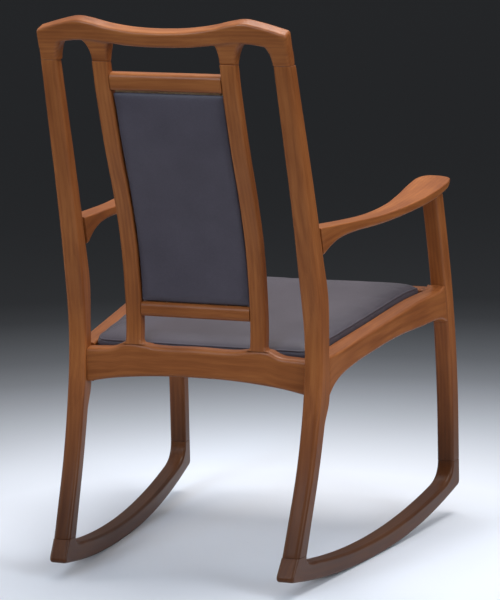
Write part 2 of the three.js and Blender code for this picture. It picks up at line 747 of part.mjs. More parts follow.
// A countersunk screw pointing up, with the end of its shank at the origin. With sunk, its head
// is drawn out downwards, which makes the cutter for its hole.
function screw(length, grow = 0, sunk = 0) {
  const shank = 1.8 + grow;
  const head = 3.8 + grow;
  const bottom = -length - sunk;
  const outline = [
    [0, bottom], [head, bottom], [head, -length + 0.6], [shank, -length + 3], [shank, 0], [0, 0],
  ].map(([radius, z]) => new THREE.Vector2(radius, z));
  return new THREE.LatheGeometry(outline, 10).rotateX(Math.PI / 2);
}

// A three-cornered block in a corner of the seat frame, just below the board.
function cornerBlock(cornerY, towards, lowZ, highZ) {
  const reach = 58;
  const inset = RAIL_INSET + RAIL_WIDTH + 0.5;
  const farY = cornerY + towards * reach;
  const corner = new THREE.Vector2(outerX(cornerY) - inset, cornerY);
  const alongRail = new THREE.Vector2(corner.x - reach, cornerY);
  const alongSide = new THREE.Vector2(outerX(farY) - inset, farY);
  const block = new THREE.ExtrudeGeometry(new THREE.Shape([corner, alongRail, alongSide]), {
    depth: highZ - lowZ,
    bevelEnabled: false,
  }).translate(0, 0, lowZ);
  const boardUnderside = (y) => seatBoardTop(y) - SEAT_BOARD_THICKNESS - CLEARANCE;
  return cut(block, seatLayer(boardUnderside, () => 480, 0, 0.5));
}

// ---------------------------------------------------------------- assembly

const chair = new THREE.Group();

function add(name, geometry, look) {
  const lifted = geometry.clone().translate(0, 0, RISE);
  const mesh = new THREE.Mesh(lifted, new THREE.MeshStandardMaterial(look));
  mesh.name = name;
  chair.add(mesh);
}

// Pieces of the left half, which the right half repeats as their mirror image.
const sidePieces = {
  rocker: rocker(),
  rear_post: rearPost(),
  front_leg: frontLeg(),
  side_seat_rail: cut(sideSeatRail(), frontLeg(CLEARANCE), frontSeatRail(CLEARANCE)),
  arm: cut(arm(), rearPost(CLEARANCE), frontLeg(CLEARANCE)),
  back_stile: backStile(),
};

function betweenPair(geometry, neighbour) {
  return cut(geometry, neighbour, mirrored(neighbour));
}

const middlePieces = {
  crest_rail: crestRail(),
  rear_seat_rail: betweenPair(rearSeatRail(), rearPost(CLEARANCE)),
  front_seat_rail: betweenPair(frontSeatRail(), frontLeg(CLEARANCE)),
  panel_top_rail: cut(betweenPair(panelRail(PANEL_TOP_RAIL), backStile(CLEARANCE)), panelTongue(CLEARANCE)),
  panel_bottom_rail: betweenPair(panelRail(PANEL_BOTTOM_RAIL), backStile(CLEARANCE)),
};

for (const { name, middle, along, flat, size, hosts } of [
  ...frameTenons(), ...seatTenons(), ...backTenons(),
]) {
  const mortise = tenonBlock(middle, along, flat, size, CLEARANCE);
  for (const host of hosts) {
    if (host in sidePieces) {
      sidePieces[host] = cut(sidePieces[host], mortise);
    } else {
      middlePieces[host] = betweenPair(middlePieces[host], mortise);
    }
  }
  const tenon = tenonBlock(middle, along, flat, size, 0);
  add(`${name}_left`, tenon, HIDDEN_WOOD);
  add(`${name}_right`, mirrored(tenon), HIDDEN_WOOD);
}

// Corner blocks with one screw each, which hold the seat board down.
let boardWithHoles = seatBoard();
const corners = { rear: [POST_FRONT_Y - 0.6, -1, 362, 400], front: [-300.5, 1, 406, 432] };
for (const [place, [cornerY, towards, lowZ, highZ]] of Object.entries(corners)) {
  const y = cornerY + towards * 18;
  const x = outerX(y) - 52;
  const top = seatBoardTop(y) - 4;
  const length = top - lowZ - 0.5;
  const hole = screw(length, CLEARANCE, 2).translate(x, y, top + CLEARANCE);
  const block = cut(cornerBlock(cornerY, towards, lowZ, highZ), hole);
  const fastener = screw(length).translate(x, y, top);
  boardWithHoles = betweenPair(boardWithHoles, hole);
  add(`corner_block_${place}_left`, block, HIDDEN_WOOD);
  add(`corner_block_${place}_right`, mirrored(block), HIDDEN_WOOD);
  add(`seat_screw_${place}_left`, fastener, STEEL);
  add(`seat_screw_${place}_right`, mirrored(fastener), STEEL);
}
add("seat_board", boardWithHoles, HIDDEN_WOOD);
add("seat_foam", seatFoam(), FOAM);
add("seat_cover", seatCover(), UPHOLSTERY);

// Two screws go up through the lower panel rail into the panel's board.
const panelScrewTop = [60, stileRearY(PANEL_LOW_Z) - PANEL_BOARD_MIDDLE, PANEL_LOW_Z + 22];
const panelScrewLength = panelScrewTop[2] - (PANEL_BOTTOM_RAIL.z - PANEL_BOTTOM_RAIL.height / 2) - 1.5;
const panelHole = screw(panelScrewLength, CLEARANCE, 5).translate(...panelScrewTop);
const panelScrew = screw(panelScrewLength - CLEARANCE)
  .translate(...panelScrewTop)
  .translate(0, 0, -CLEARANCE);
middlePieces.panel_bottom_rail = betweenPair(middlePieces.panel_bottom_rail, panelHole);
add("back_panel_board", betweenPair(backPanelBoard(), panelHole), HIDDEN_WOOD);
add("back_panel_foam", backPanelFoam(), FOAM);
add("back_panel_cover", backPanelCover(), UPHOLSTERY);
add("panel_screw_left", panelScrew, STEEL);
add("panel_screw_right", mirrored(panelScrew), STEEL);

for (const [name, geometry] of Object.entries(sidePieces)) {
  add(`${name}_left`, geometry, WOOD);
  add(`${name}_right`, mirrored(geometry), WOOD);
}
for (const [name, geometry] of Object.entries(middlePieces)) {
  add(name, geometry, WOOD);
}

export default chair;
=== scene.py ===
import json
import logging
import math
from dataclasses import dataclass
from enum import Enum
from typing import Callable

import bmesh
import bpy
import numpy as np
from mathutils import Matrix
from mathutils.bvhtree import BVHTree


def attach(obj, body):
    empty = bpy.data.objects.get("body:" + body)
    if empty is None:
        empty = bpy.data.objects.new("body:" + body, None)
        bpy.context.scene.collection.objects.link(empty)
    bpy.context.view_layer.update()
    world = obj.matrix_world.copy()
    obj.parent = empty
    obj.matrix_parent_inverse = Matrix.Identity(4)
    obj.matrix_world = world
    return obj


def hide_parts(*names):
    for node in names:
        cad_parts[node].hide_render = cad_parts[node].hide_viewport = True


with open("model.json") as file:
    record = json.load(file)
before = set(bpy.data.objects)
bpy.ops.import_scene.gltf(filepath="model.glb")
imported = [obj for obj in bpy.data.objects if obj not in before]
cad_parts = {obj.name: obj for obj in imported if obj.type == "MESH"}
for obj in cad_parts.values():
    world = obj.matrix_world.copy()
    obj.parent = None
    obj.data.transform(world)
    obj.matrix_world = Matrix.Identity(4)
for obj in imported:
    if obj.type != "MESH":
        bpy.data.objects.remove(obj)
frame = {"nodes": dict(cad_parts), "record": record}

LOG = logging.getLogger("rocking_chair")
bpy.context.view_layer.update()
MM = 0.001
ROOT = "root"
GRAIN = "grain"
Array = np.ndarray
Colour = tuple[float, float, float]


# ------------------------------------------------------------------ shared lines of the chair


class Side(Enum):
    """Which half of the chair a piece stands on, seen by the sitter."""

    LEFT = 1
    RIGHT = -1

    @property
    def word(self) -> str:
        """The side's name as the pieces carry it."""
        return self.name.lower()


@dataclass(frozen=True)
class Curve:
    """A smooth curve through a few (position, value) pairs, level-headed at both ends.

    Between two pairs it is a cubic whose slope at each pair follows the chord to its neighbours,
    and past the ends it keeps the end's value.
    """

    pairs: tuple[tuple[float, float], ...]

    def __call__(self, at: Array | float) -> Array:
        """Value of the curve.

        Args:
            at: positions, in the units of the pairs.

        Returns:
            One value for each position.
        """
        spots, values = np.array(self.pairs, float).T
        x = np.clip(np.asarray(at, float), spots[0], spots[-1])
        after = np.clip(np.searchsorted(spots, x, side="right"), 1, len(spots) - 1)
        before = after - 1
        earlier = np.where(after >= 2, after - 2, after)
        later = np.where(after + 1 < len(spots), after + 1, before)
        step = spots[after] - spots[before]
        weight_in = step / 2 / (spots[before] - spots[earlier])
        weight_out = step / 2 / (spots[later] - spots[after])
        p = (x - spots[before]) / step
        return (
            (-weight_in * p**3 + 2 * weight_in * p**2 - weight_in * p) * values[earlier]
            + (
                (1 + weight_in) * p**3 - (1.5 + 2 * weight_in) * p**2 + (weight_in - 0.5) * p + 1
            ) * values[before]
            + (-(1 + weight_out) * p**3 + (1.5 + weight_out) * p**2 + 0.5 * p) * values[after]
            + (weight_out * p**3 - weight_out * p**2) * values[later]
        )


def smoothstep(at: Array | float, low: float, high: float) -> Array:
    """0 below low, 1 above high, and a smooth S between them."""
    t = np.clip((np.asarray(at, float) - low) / (high - low), 0.0, 1.0)
    return t * t * (3 - 2 * t)


@dataclass(frozen=True)
class ChairLines:
    """The lines that several pieces share, in millimetres, as functions of height or of y.

    Heights are drawn from a level that is the rise above the floor.
    """

    rise: float = 7.0
    half_width: float = 277.0
    splay: float = 0.087
    frame_width: float = 34.0
    gap: float = 0.3
    rocker_joint_rear: float = 64.0
    rocker_joint_front: float = 104.0
    crest_joint: float = 964.0
    arm_joint: float = 652.0
    leg_depth: float = 34.0
    post_front: float = 217.0
    stile_x: float = 125.0
    stile_width: float = 31.0
    stile_depth: float = 23.0
    stile_foot: float = 421.0
    post_rear: Curve = Curve((
        (0, 389), (105, 343), (210, 300), (315, 271), (382, 259),
        (458, 257), (572, 275), (715, 307), (859, 345), (1002, 383),
    ))
    post_depth: Curve = Curve((
        (60, 41), (150, 37), (230, 36), (300, 38), (345, 42),
        (400, 44), (560, 43), (700, 38), (860, 33), (970, 29),
    ))
    post_width: Curve = Curve((
        (60, 34), (300, 34), (372, 35), (450, 35.5), (560, 37), (700, 36), (970, 34),
    ))
    leg_front: Curve = Curve((
        (60, -375), (124, -374.5), (248, -370), (382, -356), (496, -336), (668, -294),
    ))
    stile_rear: Curve = Curve((
        (400, 252), (449, 245), (536, 250), (624, 265), (711, 292),
        (797, 325), (881, 353), (916, 364), (966, 376),
    ))

    def outer_x(self, y: Array | float) -> Array:
        """Half the outer width at y: a straight line that widens forwards."""
        return self.half_width - self.splay * np.asarray(y, float)

    def post_front_y(self, z: Array | float) -> Array:
        """Front of a rear post: its rear line less its depth, drawn straight beside the seat."""
        free = self.post_rear(z) - self.post_depth(z)
        beside = smoothstep(z, 290, 350) * (1 - smoothstep(z, 470, 600))
        return free + (self.post_front - free) * beside

    def leg_rear_y(self, z: Array | float) -> Array:
        """Rear of a front leg, which gets a little slimmer towards the arm."""
        return self.leg_front(z) + self.leg_depth - smoothstep(z, 200, 640) * 2


LINES = ChairLines()


# ------------------------------------------------------------------ surfaces


@dataclass(frozen=True)
class Section:
    """A rectangle with rounded corners, drawn at every station of a piece at once."""

    steps: int = 6
    support: float = 1.2

    def rings(
        self,
        across: tuple[Array, Array],
        through: tuple[Array, Array],
        radii: tuple[float, float, float, float],
        inset: Array,
    ) -> tuple[Array, Array]:
        """Points round the rectangle.

        Each corner is a quarter circle, centre plus radius times (cosine, sine), with one more
        point on the flat before and after it, which keeps the flat's shading flat.

        Args:
            across: low and high side along the first direction, one value per station.
            through: the same along the second direction.
            radii: corner radii, in the order low-low, high-low, high-high, low-high.
            inset: how far the whole rectangle is drawn in at each station.

        Returns:
            The first and the second coordinate, each stations by points.
        """
        inset = np.asarray(inset, float)
        low_a, high_a = (np.broadcast_to(np.asarray(v, float), inset.shape) for v in across)
        low_b, high_b = (np.broadcast_to(np.asarray(v, float), inset.shape) for v in through)
        low_a, high_a, low_b, high_b = low_a + inset, high_a - inset, low_b + inset, high_b - inset
        room = np.minimum(high_a - low_a, high_b - low_b)
        r = np.maximum(np.array(radii)[None, :] - inset[:, None], 0.35)
        r = np.minimum(r, 0.45 * room[:, None])
        centre_a = np.stack([low_a + r[:, 0], high_a - r[:, 1], high_a - r[:, 2], low_a + r[:, 3]], 1)
        centre_b = np.stack([low_b + r[:, 0], low_b + r[:, 1], high_b - r[:, 2], high_b - r[:, 3]], 1)
        start = np.array([np.pi, 1.5 * np.pi, 0, 0.5 * np.pi])
        turn = start[:, None] + np.linspace(0, np.pi / 2, self.steps + 1)[None, :]
        a = centre_a[:, :, None] + r[:, :, None] * np.cos(turn)
        b = centre_b[:, :, None] + r[:, :, None] * np.sin(turn)
        step = np.minimum(self.support, 0.03 * room)[:, None]
        first, last = turn[None, :, 0], turn[None, :, -1]
        before = (a[:, :, 0] + step * np.sin(first), b[:, :, 0] - step * np.cos(first))
        beyond = (a[:, :, -1] - step * np.sin(last), b[:, :, -1] + step * np.cos(last))
        a = np.concatenate([before[0][:, :, None], a, beyond[0][:, :, None]], 2)
        b = np.concatenate([before[1][:, :, None], b, beyond[1][:, :, None]], 2)
        return a.reshape(len(inset), -1), b.reshape(len(inset), -1)


SECTION = Section()


def eased(length: float, count: int, start: float, end: float) -> tuple[Array, Array]:
    """Stations along a piece, crowded at its ends so that both ends are rounded over.

    Near an end the distance from it is r - r cos(angle) and the inset is r - r sin(angle), which
    draws a quarter circle.

    Args:
        length: length of the piece.
        count: stations between the rounded ends.
        start: radius of the rounding at the start.
        end: radius of the rounding at the end.

    Returns:
        Distances from the start, and the section's inset at each.
    """
    angle = np.linspace(0, np.pi / 2, 6)
    head, tail = start * (1 - np.cos(angle)), end * (1 - np.cos(angle))
    middle = np.linspace(start, length - end, count + 2)[1:-1]
    along = np.concatenate([head, middle, length - tail[::-1]])
    inset = np.concatenate([start * (1 - np.sin(angle)), np.zeros(count), end * (1 - np.sin(angle[::-1]))])
    return along, inset


@dataclass
class Skin:
    """A closed surface over a grid: rings of points from one end of a piece to the other.

    Attributes:
        points: stations by ring points by 3, in millimetres.
        grain: the same shape: across, through and along the wood's fibres, in millimetres.
    """

    points: Array
    grain: Array | None = None

    def faces(self) -> list[tuple[int, ...]]:
        """Four-sided faces between neighbouring rings and one face over each end, facing out.

        Face (i, j) takes points (i, j), (i, j+1), (i+1, j+1), (i+1, j), with j wrapping round.
        """
        stations, ring = self.points.shape[:2]
        i, j = np.meshgrid(np.arange(stations - 1), np.arange(ring), indexing="ij")
        k = (j + 1) % ring
        here, beyond = i * ring, (i + 1) * ring
        quads = np.stack([here + j, here + k, beyond + k, beyond + j], -1).reshape(-1, 4)
        flat = self.points.reshape(-1, 3)
        flat = flat - flat.mean(0)
        a, b, c, d = (flat[quads[:, n]] for n in range(4))
        volume = np.einsum("ij,ij->", a, np.cross(b, c)) + np.einsum("ij,ij->", a, np.cross(c, d))
        first = tuple(range(ring - 1, -1, -1))
        last = tuple(range((stations - 1) * ring, stations * ring))
        if volume < 0:
            return [tuple(q) for q in quads[:, ::-1].tolist()] + [first[::-1], last[::-1]]
        return [tuple(q) for q in quads.tolist()] + [first, last]

    def mirrored(self) -> "Skin":
        """The same surface on the other side of the chair."""
        return Skin(self.points * np.array([-1.0, 1.0, 1.0]), self.grain)

    def on(self, side: Side) -> "Skin":
        """This surface, made for the left, on the given side."""
        return self if side is Side.LEFT else self.mirrored()


def lengths_along(centres: Array) -> Array:
    """Distance travelled along a row of points, summed from the first."""
    return np.concatenate([[0.0], np.cumsum(np.linalg.norm(np.diff(centres, axis=0), axis=1))])


def skin_with_grain(points: Array, a: Array, b: Array, shift: float = 0.0) -> Skin:
    """A skin whose grain follows the piece's own bend.

    Args:
        points: stations by ring points by 3.
        a: first section coordinate, stations by ring points.
        b: second section coordinate.
        shift: offset along the fibres, which gives each piece its own figure.

    Returns:
        The skin.
    """
    along = lengths_along(points.mean(1))[:, None] + np.zeros_like(a)
    across = a - a.mean(1, keepdims=True)
    through = b - b.mean(1, keepdims=True)
    return Skin(points, np.stack([across + shift * 0.37, through + shift * 0.21, along + shift], -1))


def new_mesh(name: str, skins: list[Skin]) -> bpy.types.Object:
    """An object whose mesh holds the skins, in metres, smooth shaded, with its grain attribute.

    Args:
        name: the piece's name.
        skins: closed surfaces, each its own shell.

    Returns:
        The object, linked into the scene, at the origin.
    """
    mesh = bpy.data.meshes.new(name)
    vertices = (np.concatenate([s.points.reshape(-1, 3) for s in skins]) + [0.0, 0.0, LINES.rise]) * MM
    faces: list[tuple[int, ...]] = []
    start = 0
    for s in skins:
        faces += [tuple(n + start for n in face) for face in s.faces()]
        start += s.points.shape[0] * s.points.shape[1]
    mesh.from_pydata(vertices.tolist(), [], faces)
    if all(s.grain is not None for s in skins):
        grain = np.concatenate([s.grain.reshape(-1, 3) for s in skins]) * MM
        mesh.attributes.new(GRAIN, "FLOAT_VECTOR", "POINT").data.foreach_set("vector", grain.ravel())
    mesh.polygons.foreach_set("use_smooth", np.ones(len(mesh.polygons), bool))
    mesh.update()
    made = bpy.data.objects.new(name, mesh)
    bpy.context.scene.collection.objects.link(made)
    return made


def settle(
    piece: bpy.types.Object, material: bpy.types.Material, nodes: list[str]
) -> bpy.types.Object:
    """Dresses a finished piece and puts it on the chair.

    Args:
        piece: the finished object.
        material: its finish.
        nodes: the solids that it stands for.

    Returns:
        The same piece.
    """
    piece.data.materials.clear()
    piece.data.materials.append(material)
    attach(piece, ROOT)
    if nodes:
        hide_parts(*nodes)
    faces = len(piece.data.polygons)
    LOG.info("%s: %d faces, stands for %s", piece.name, faces, ", ".join(nodes) or "nothing")
    return piece


# ------------------------------------------------------------------ finishes


class NodeTree:
    """A material's nodes, added and joined one at a time."""

    def __init__(self, name: str) -> None:
        """Starts an empty material.

        Args:
            name: the material's name.
        """
        self.material = bpy.data.materials.new(name)
        self.material.use_nodes = True
        self.tree = self.material.node_tree
        self.tree.nodes.clear()

    def add(self, kind: str, inputs: dict | None = None, **settings: object) -> bpy.types.Node:
        """Adds a node.

        Args:
            kind: the node's type without its ShaderNode prefix.
            inputs: values or sockets for its inputs, by name or number.
            settings: the node's own properties.

        Returns:
            The node.
        """
        node = self.tree.nodes.new("ShaderNode" + kind)
        for key, value in settings.items():
            setattr(node, key, value)
        for key, value in (inputs or {}).items():
            if isinstance(value, bpy.types.NodeSocket):
                self.tree.links.new(value, node.inputs[key])
            else:
                node.inputs[key].default_value = value
        return node

    def stretched(self, source: bpy.types.NodeSocket, scale: Colour) -> bpy.types.NodeSocket:
        """Coordinates multiplied by a scale for each direction."""
        return self.add("VectorMath", {0: source, 1: scale}, operation="MULTIPLY").outputs[0]

    def dimmed(self, colour: bpy.types.NodeSocket,
               factor: bpy.types.NodeSocket) -> bpy.types.NodeSocket:
        """A colour multiplied by a factor that varies."""
        return self.add("VectorMath", {0: colour, "Scale": factor}, operation="SCALE").outputs[0]

    def ramp(self, factor: bpy.types.NodeSocket, stops: list[tuple[float, Colour]]) -> bpy.types.NodeSocket:
        """A colour picked by a factor from a row of (place, colour) stops."""
        node = self.add("ValToRGB", {0: factor})
        elements = node.color_ramp.elements
        elements[0].position, elements[1].position = stops[0][0], stops[-1][0]
        for place, _ in stops[1:-1]:
            elements.new(place)
        for element, (_, colour) in zip(elements, stops):
            element.color = (*colour, 1.0)
        return node.outputs[0]

    def blend(self, *terms: tuple[bpy.types.NodeSocket, float]) -> bpy.types.NodeSocket:
        """Sum of each term times its weight."""
        total: bpy.types.NodeSocket | float = 0.0
        for socket, weight in terms:
            total = self.add("Math", {0: socket, 1: weight, 2: total}, operation="MULTIPLY_ADD").outputs[0]
        return total

    def span(self, value: bpy.types.NodeSocket, low: float, high: float) -> bpy.types.NodeSocket:
        """A value from 0 to 1 spread over low to high."""
        return self.add("MapRange", {0: value, 3: low, 4: high}).outputs[0]

    def finish(self, shader: bpy.types.Node) -> bpy.types.Material:
        """Joins a shader to the output and gives the material back."""
        output = self.add("OutputMaterial")
        self.tree.links.new(shader.outputs[0], output.inputs["Surface"])
        return self.material


class Follows(Enum):
    """What a wood's figure follows."""

    PIECE = "the bend of the piece"
    CHAIR = "the chair's own directions"


@dataclass(frozen=True)
class WoodFinish:
    """Oiled and rubbed wood with growth rings, fibres and a thin satin coat.

    Near the floor its colour carries painted shade, for light that falls off downwards: it is
    dimmed to the foot factor below the lower of the two levels (metres up), rising smoothly to
    full at the upper one.
    """

    name: str
    shades: tuple[Colour, Colour, Colour, Colour]
    follows: Follows = Follows.PIECE
    ring_scale: float = 44.0
    roughness: tuple[float, float] = (0.32, 0.46)
    coat: float = 0.05
    bump: float = 0.10
    figure: float = 0.06
    foot_painted_shade: float = 1.0
    painted_shade_levels: tuple[float, float] = (0.06, 0.42)

    def build(self) -> bpy.types.Material:
        """The material: growth rings about an axis outside the piece, broken up by fibres."""
        t = NodeTree(self.name)
        if self.follows is Follows.PIECE:
            own = t.add("Attribute", attribute_name=GRAIN).outputs["Vector"]
        else:
            own = t.add("TexCoord").outputs["Object"]
        sway = t.add("TexNoise", {"Vector": t.stretched(own, (1.0, 1.0, 0.35)), "Scale": 7.0, "Detail": 2.0})
        bent = t.add(
            "VectorMath", {0: sway.outputs["Color"], 1: (0.022, 0.022, 0.0), 2: own}, operation="MULTIPLY_ADD"
        ).outputs[0]
        heart = t.add("VectorMath", {0: bent, 1: (0.055, 0.034, 0.0)}, operation="ADD").outputs[0]
        rings = t.add(
            "TexWave",
            {"Vector": t.stretched(heart, (1.0, 1.0, 0.03)), "Scale": self.ring_scale, "Distortion": 1.6,
             "Detail": 3.0, "Detail Scale": 2.2},
            wave_type="RINGS", rings_direction="Z", wave_profile="SIN",
        ).outputs["Fac"]
        fibres = t.add(
            "TexNoise",
            {"Vector": t.stretched(bent, (1.0, 1.0, 0.022)), "Scale": 950.0,
             "Detail": 4.0, "Roughness": 0.62},
        ).outputs["Fac"]
        streaks = t.add(
            "TexNoise", {"Vector": t.stretched(bent, (1.0, 1.0, 0.07)), "Scale": 120.0, "Detail": 3.0}
        ).outputs["Fac"]
        clouds = t.add(
            "TexNoise", {"Vector": t.stretched(own, (1.0, 1.0, 0.4)), "Scale": 16.0, "Detail": 2.0}
        ).outputs["Fac"]
        figure = t.blend((rings, self.figure), (fibres, 0.26), (streaks, 0.34), (clouds, 0.40 - self.figure))
        dark, deep, warm, pale = self.shades
        colour = t.ramp(figure, [(0.30, dark), (0.46, deep), (0.58, warm), (0.74, pale)])
        # painted shade: the colour is dimmed towards the floor, standing in for light falling off downwards
        level = t.add("SeparateXYZ", {0: t.add("TexCoord").outputs["Object"]}).outputs["Z"]
        depth = t.add(
            "MapRange",
            {0: level, 1: self.painted_shade_levels[0], 2: self.painted_shade_levels[1], 3: self.foot_painted_shade, 4: 1.0},
            interpolation_type="SMOOTHSTEP",
        ).outputs[0]
        colour = t.dimmed(colour, depth)
        height = t.blend((fibres, 0.8), (rings, 0.2))
        relief = t.add("Bump", {"Strength": self.bump, "Distance": 0.0006, "Height": height})
        shader = t.add(
            "BsdfPrincipled",
            {"Base Color": colour, "Roughness": t.span(streaks, *self.roughness), "Specular IOR Level": 0.2,
             "Coat Weight": self.coat, "Coat Roughness": 0.24, "Normal": relief.outputs[0]},
        )
        return t.finish(shader)


@dataclass(frozen=True)
class LeatherFinish:
    """Smooth upholstery leather with a fine pebble, soft tone changes and faint creases."""

    name: str
    shades: tuple[Colour, Colour]
    roughness: tuple[float, float] = (0.44, 0.60)
    pebble: float = 1500.0
    bump: float = 0.22

    def build(self) -> bpy.types.Material:
        """The material: small cells set the relief, and slow noise sets tone and gloss."""
        t = NodeTree(self.name)
        own = t.add("TexCoord").outputs["Object"]
        cells = t.add(
            "TexVoronoi", {"Vector": own, "Scale": self.pebble}, feature="DISTANCE_TO_EDGE"
        ).outputs["Distance"]
        pores = t.add("TexNoise", {"Vector": own, "Scale": 2600.0, "Detail": 2.0}).outputs["Fac"]
        tone = t.add("TexNoise", {"Vector": own, "Scale": 9.0, "Detail": 5.0, "Roughness": 0.6}).outputs["Fac"]
        speckle = t.add("TexNoise", {"Vector": own, "Scale": 420.0, "Detail": 3.0}).outputs["Fac"]
        creases = t.add(
            "TexNoise", {"Vector": own, "Scale": 38.0, "Detail": 6.0, "Distortion": 0.8}
        ).outputs["Fac"]
        dark, pale = self.shades
        colour = t.ramp(t.blend((tone, 0.6), (speckle, 0.4)), [(0.35, dark), (0.65, pale)])
        height = t.blend((cells, 1.6), (pores, 0.25), (creases, 0.5))
        relief = t.add("Bump", {"Strength": self.bump, "Distance": 0.0005, "Height": height})
        shader = t.add(
            "BsdfPrincipled",
            {"Base Color": colour, "Roughness": t.span(speckle, *self.roughness),
             "Sheen Weight": 0.05, "Specular IOR Level": 0.32,
             "Sheen Roughness": 0.45, "Normal": relief.outputs[0]},
        )
        return t.finish(shader)


@dataclass(frozen=True)
class SteelFinish:
    """Bright zinc on a small screw, with turned lines and a little dulling."""

    name: str
    colour: Colour = (0.60, 0.60, 0.58)

    def build(self) -> bpy.types.Material:
        """The material: fine noise drawn out round the screw sets its gloss and relief."""
        t = NodeTree(self.name)
        own = t.add("TexCoord").outputs["Object"]
        lines = t.add(
            "TexNoise", {"Vector": t.stretched(own, (1.0, 1.0, 12.0)), "Scale": 500.0}
        ).outputs["Fac"]
        shade = tuple(c * 0.7 for c in self.colour)
        colour = t.ramp(lines, [(0.3, shade), (0.7, self.colour)])
        relief = t.add("Bump", {"Strength": 0.2, "Distance": 0.0002, "Height": lines})
        shader = t.add(
            "BsdfPrincipled",
            {"Base Color": colour, "Metallic": 1.0,
             "Roughness": t.span(lines, 0.25, 0.45), "Normal": relief.outputs[0]},
        )
        return t.finish(shader)


@dataclass(frozen=True)
class PaperFinish:
    """Matt studio paper: plain and pale, or darkening outwards into the dark as painted shade, for light
    falling off away from the chair.

    Attributes:
        name: the material's name.
        shades: (distance from the chair in metres, greyness) stops, from the inside outwards; past the first,
            painted shade.
        tint: the paper's slight colour.
    """

    name: str
    shades: tuple[tuple[float, float], ...]
    tint: Colour = (0.965, 1.0, 1.09)

    def build(self) -> bpy.types.Material:
        """The material: its grey follows the distance from the chair as painted shade, and specks set its
        gloss.
        """
        t = NodeTree(self.name)
        own = t.add("TexCoord").outputs["Object"]
        specks = t.add("TexNoise", {"Vector": own, "Scale": 160.0, "Detail": 3.0}).outputs["Fac"]
        colours = [tuple(grey * c for c in self.tint) for _, grey in self.shades]
        shader = t.add(
            "BsdfPrincipled",
            {"Base Color": (*colours[0], 1.0), "Roughness": t.span(specks, 0.75, 0.95),
             "Specular IOR Level": 0.08},
        )
        if len(colours) > 1:
            # painted shade: the grey falls with distance from the chair, as the lamps' light falls off
            spots = [spot for spot, _ in self.shades]
            away = t.add("VectorMath", {0: own}, operation="LENGTH").outputs["Value"]
            share = t.add("MapRange", {0: away, 1: spots[0], 2: spots[-1]}).outputs[0]
            places = [(spot - spots[0]) / (spots[-1] - spots[0]) for spot in spots]
            t.tree.links.new(t.ramp(share, list(zip(places, colours))), shader.inputs["Base Color"])
        return t.finish(shader)


@dataclass(frozen=True)
class Finishes:
    """Every finish on the chair, built once."""

    frame_wood: WoodFinish = WoodFinish(
        "frame_wood",
        ((0.165, 0.045, 0.012), (0.240, 0.072, 0.019), (0.310, 0.100, 0.027), (0.385, 0.135, 0.040)),
        # painted shade near the floor: the colour falls to this share of itself
        foot_painted_shade=0.28,
    )
    inner_wood: WoodFinish = WoodFinish(
        "inner_wood",
        ((0.34, 0.20, 0.10), (0.45, 0.29, 0.16), (0.55, 0.38, 0.22), (0.64, 0.47, 0.30)),
        Follows.CHAIR, 30.0, (0.55, 0.7), 0.0, 0.2,
    )
    leather: LeatherFinish = LeatherFinish("upholstery", ((0.055, 0.044, 0.055), (0.077, 0.063, 0.077)))
    steel: SteelFinish = SteelFinish("screw_steel")


# ------------------------------------------------------------------ side frames


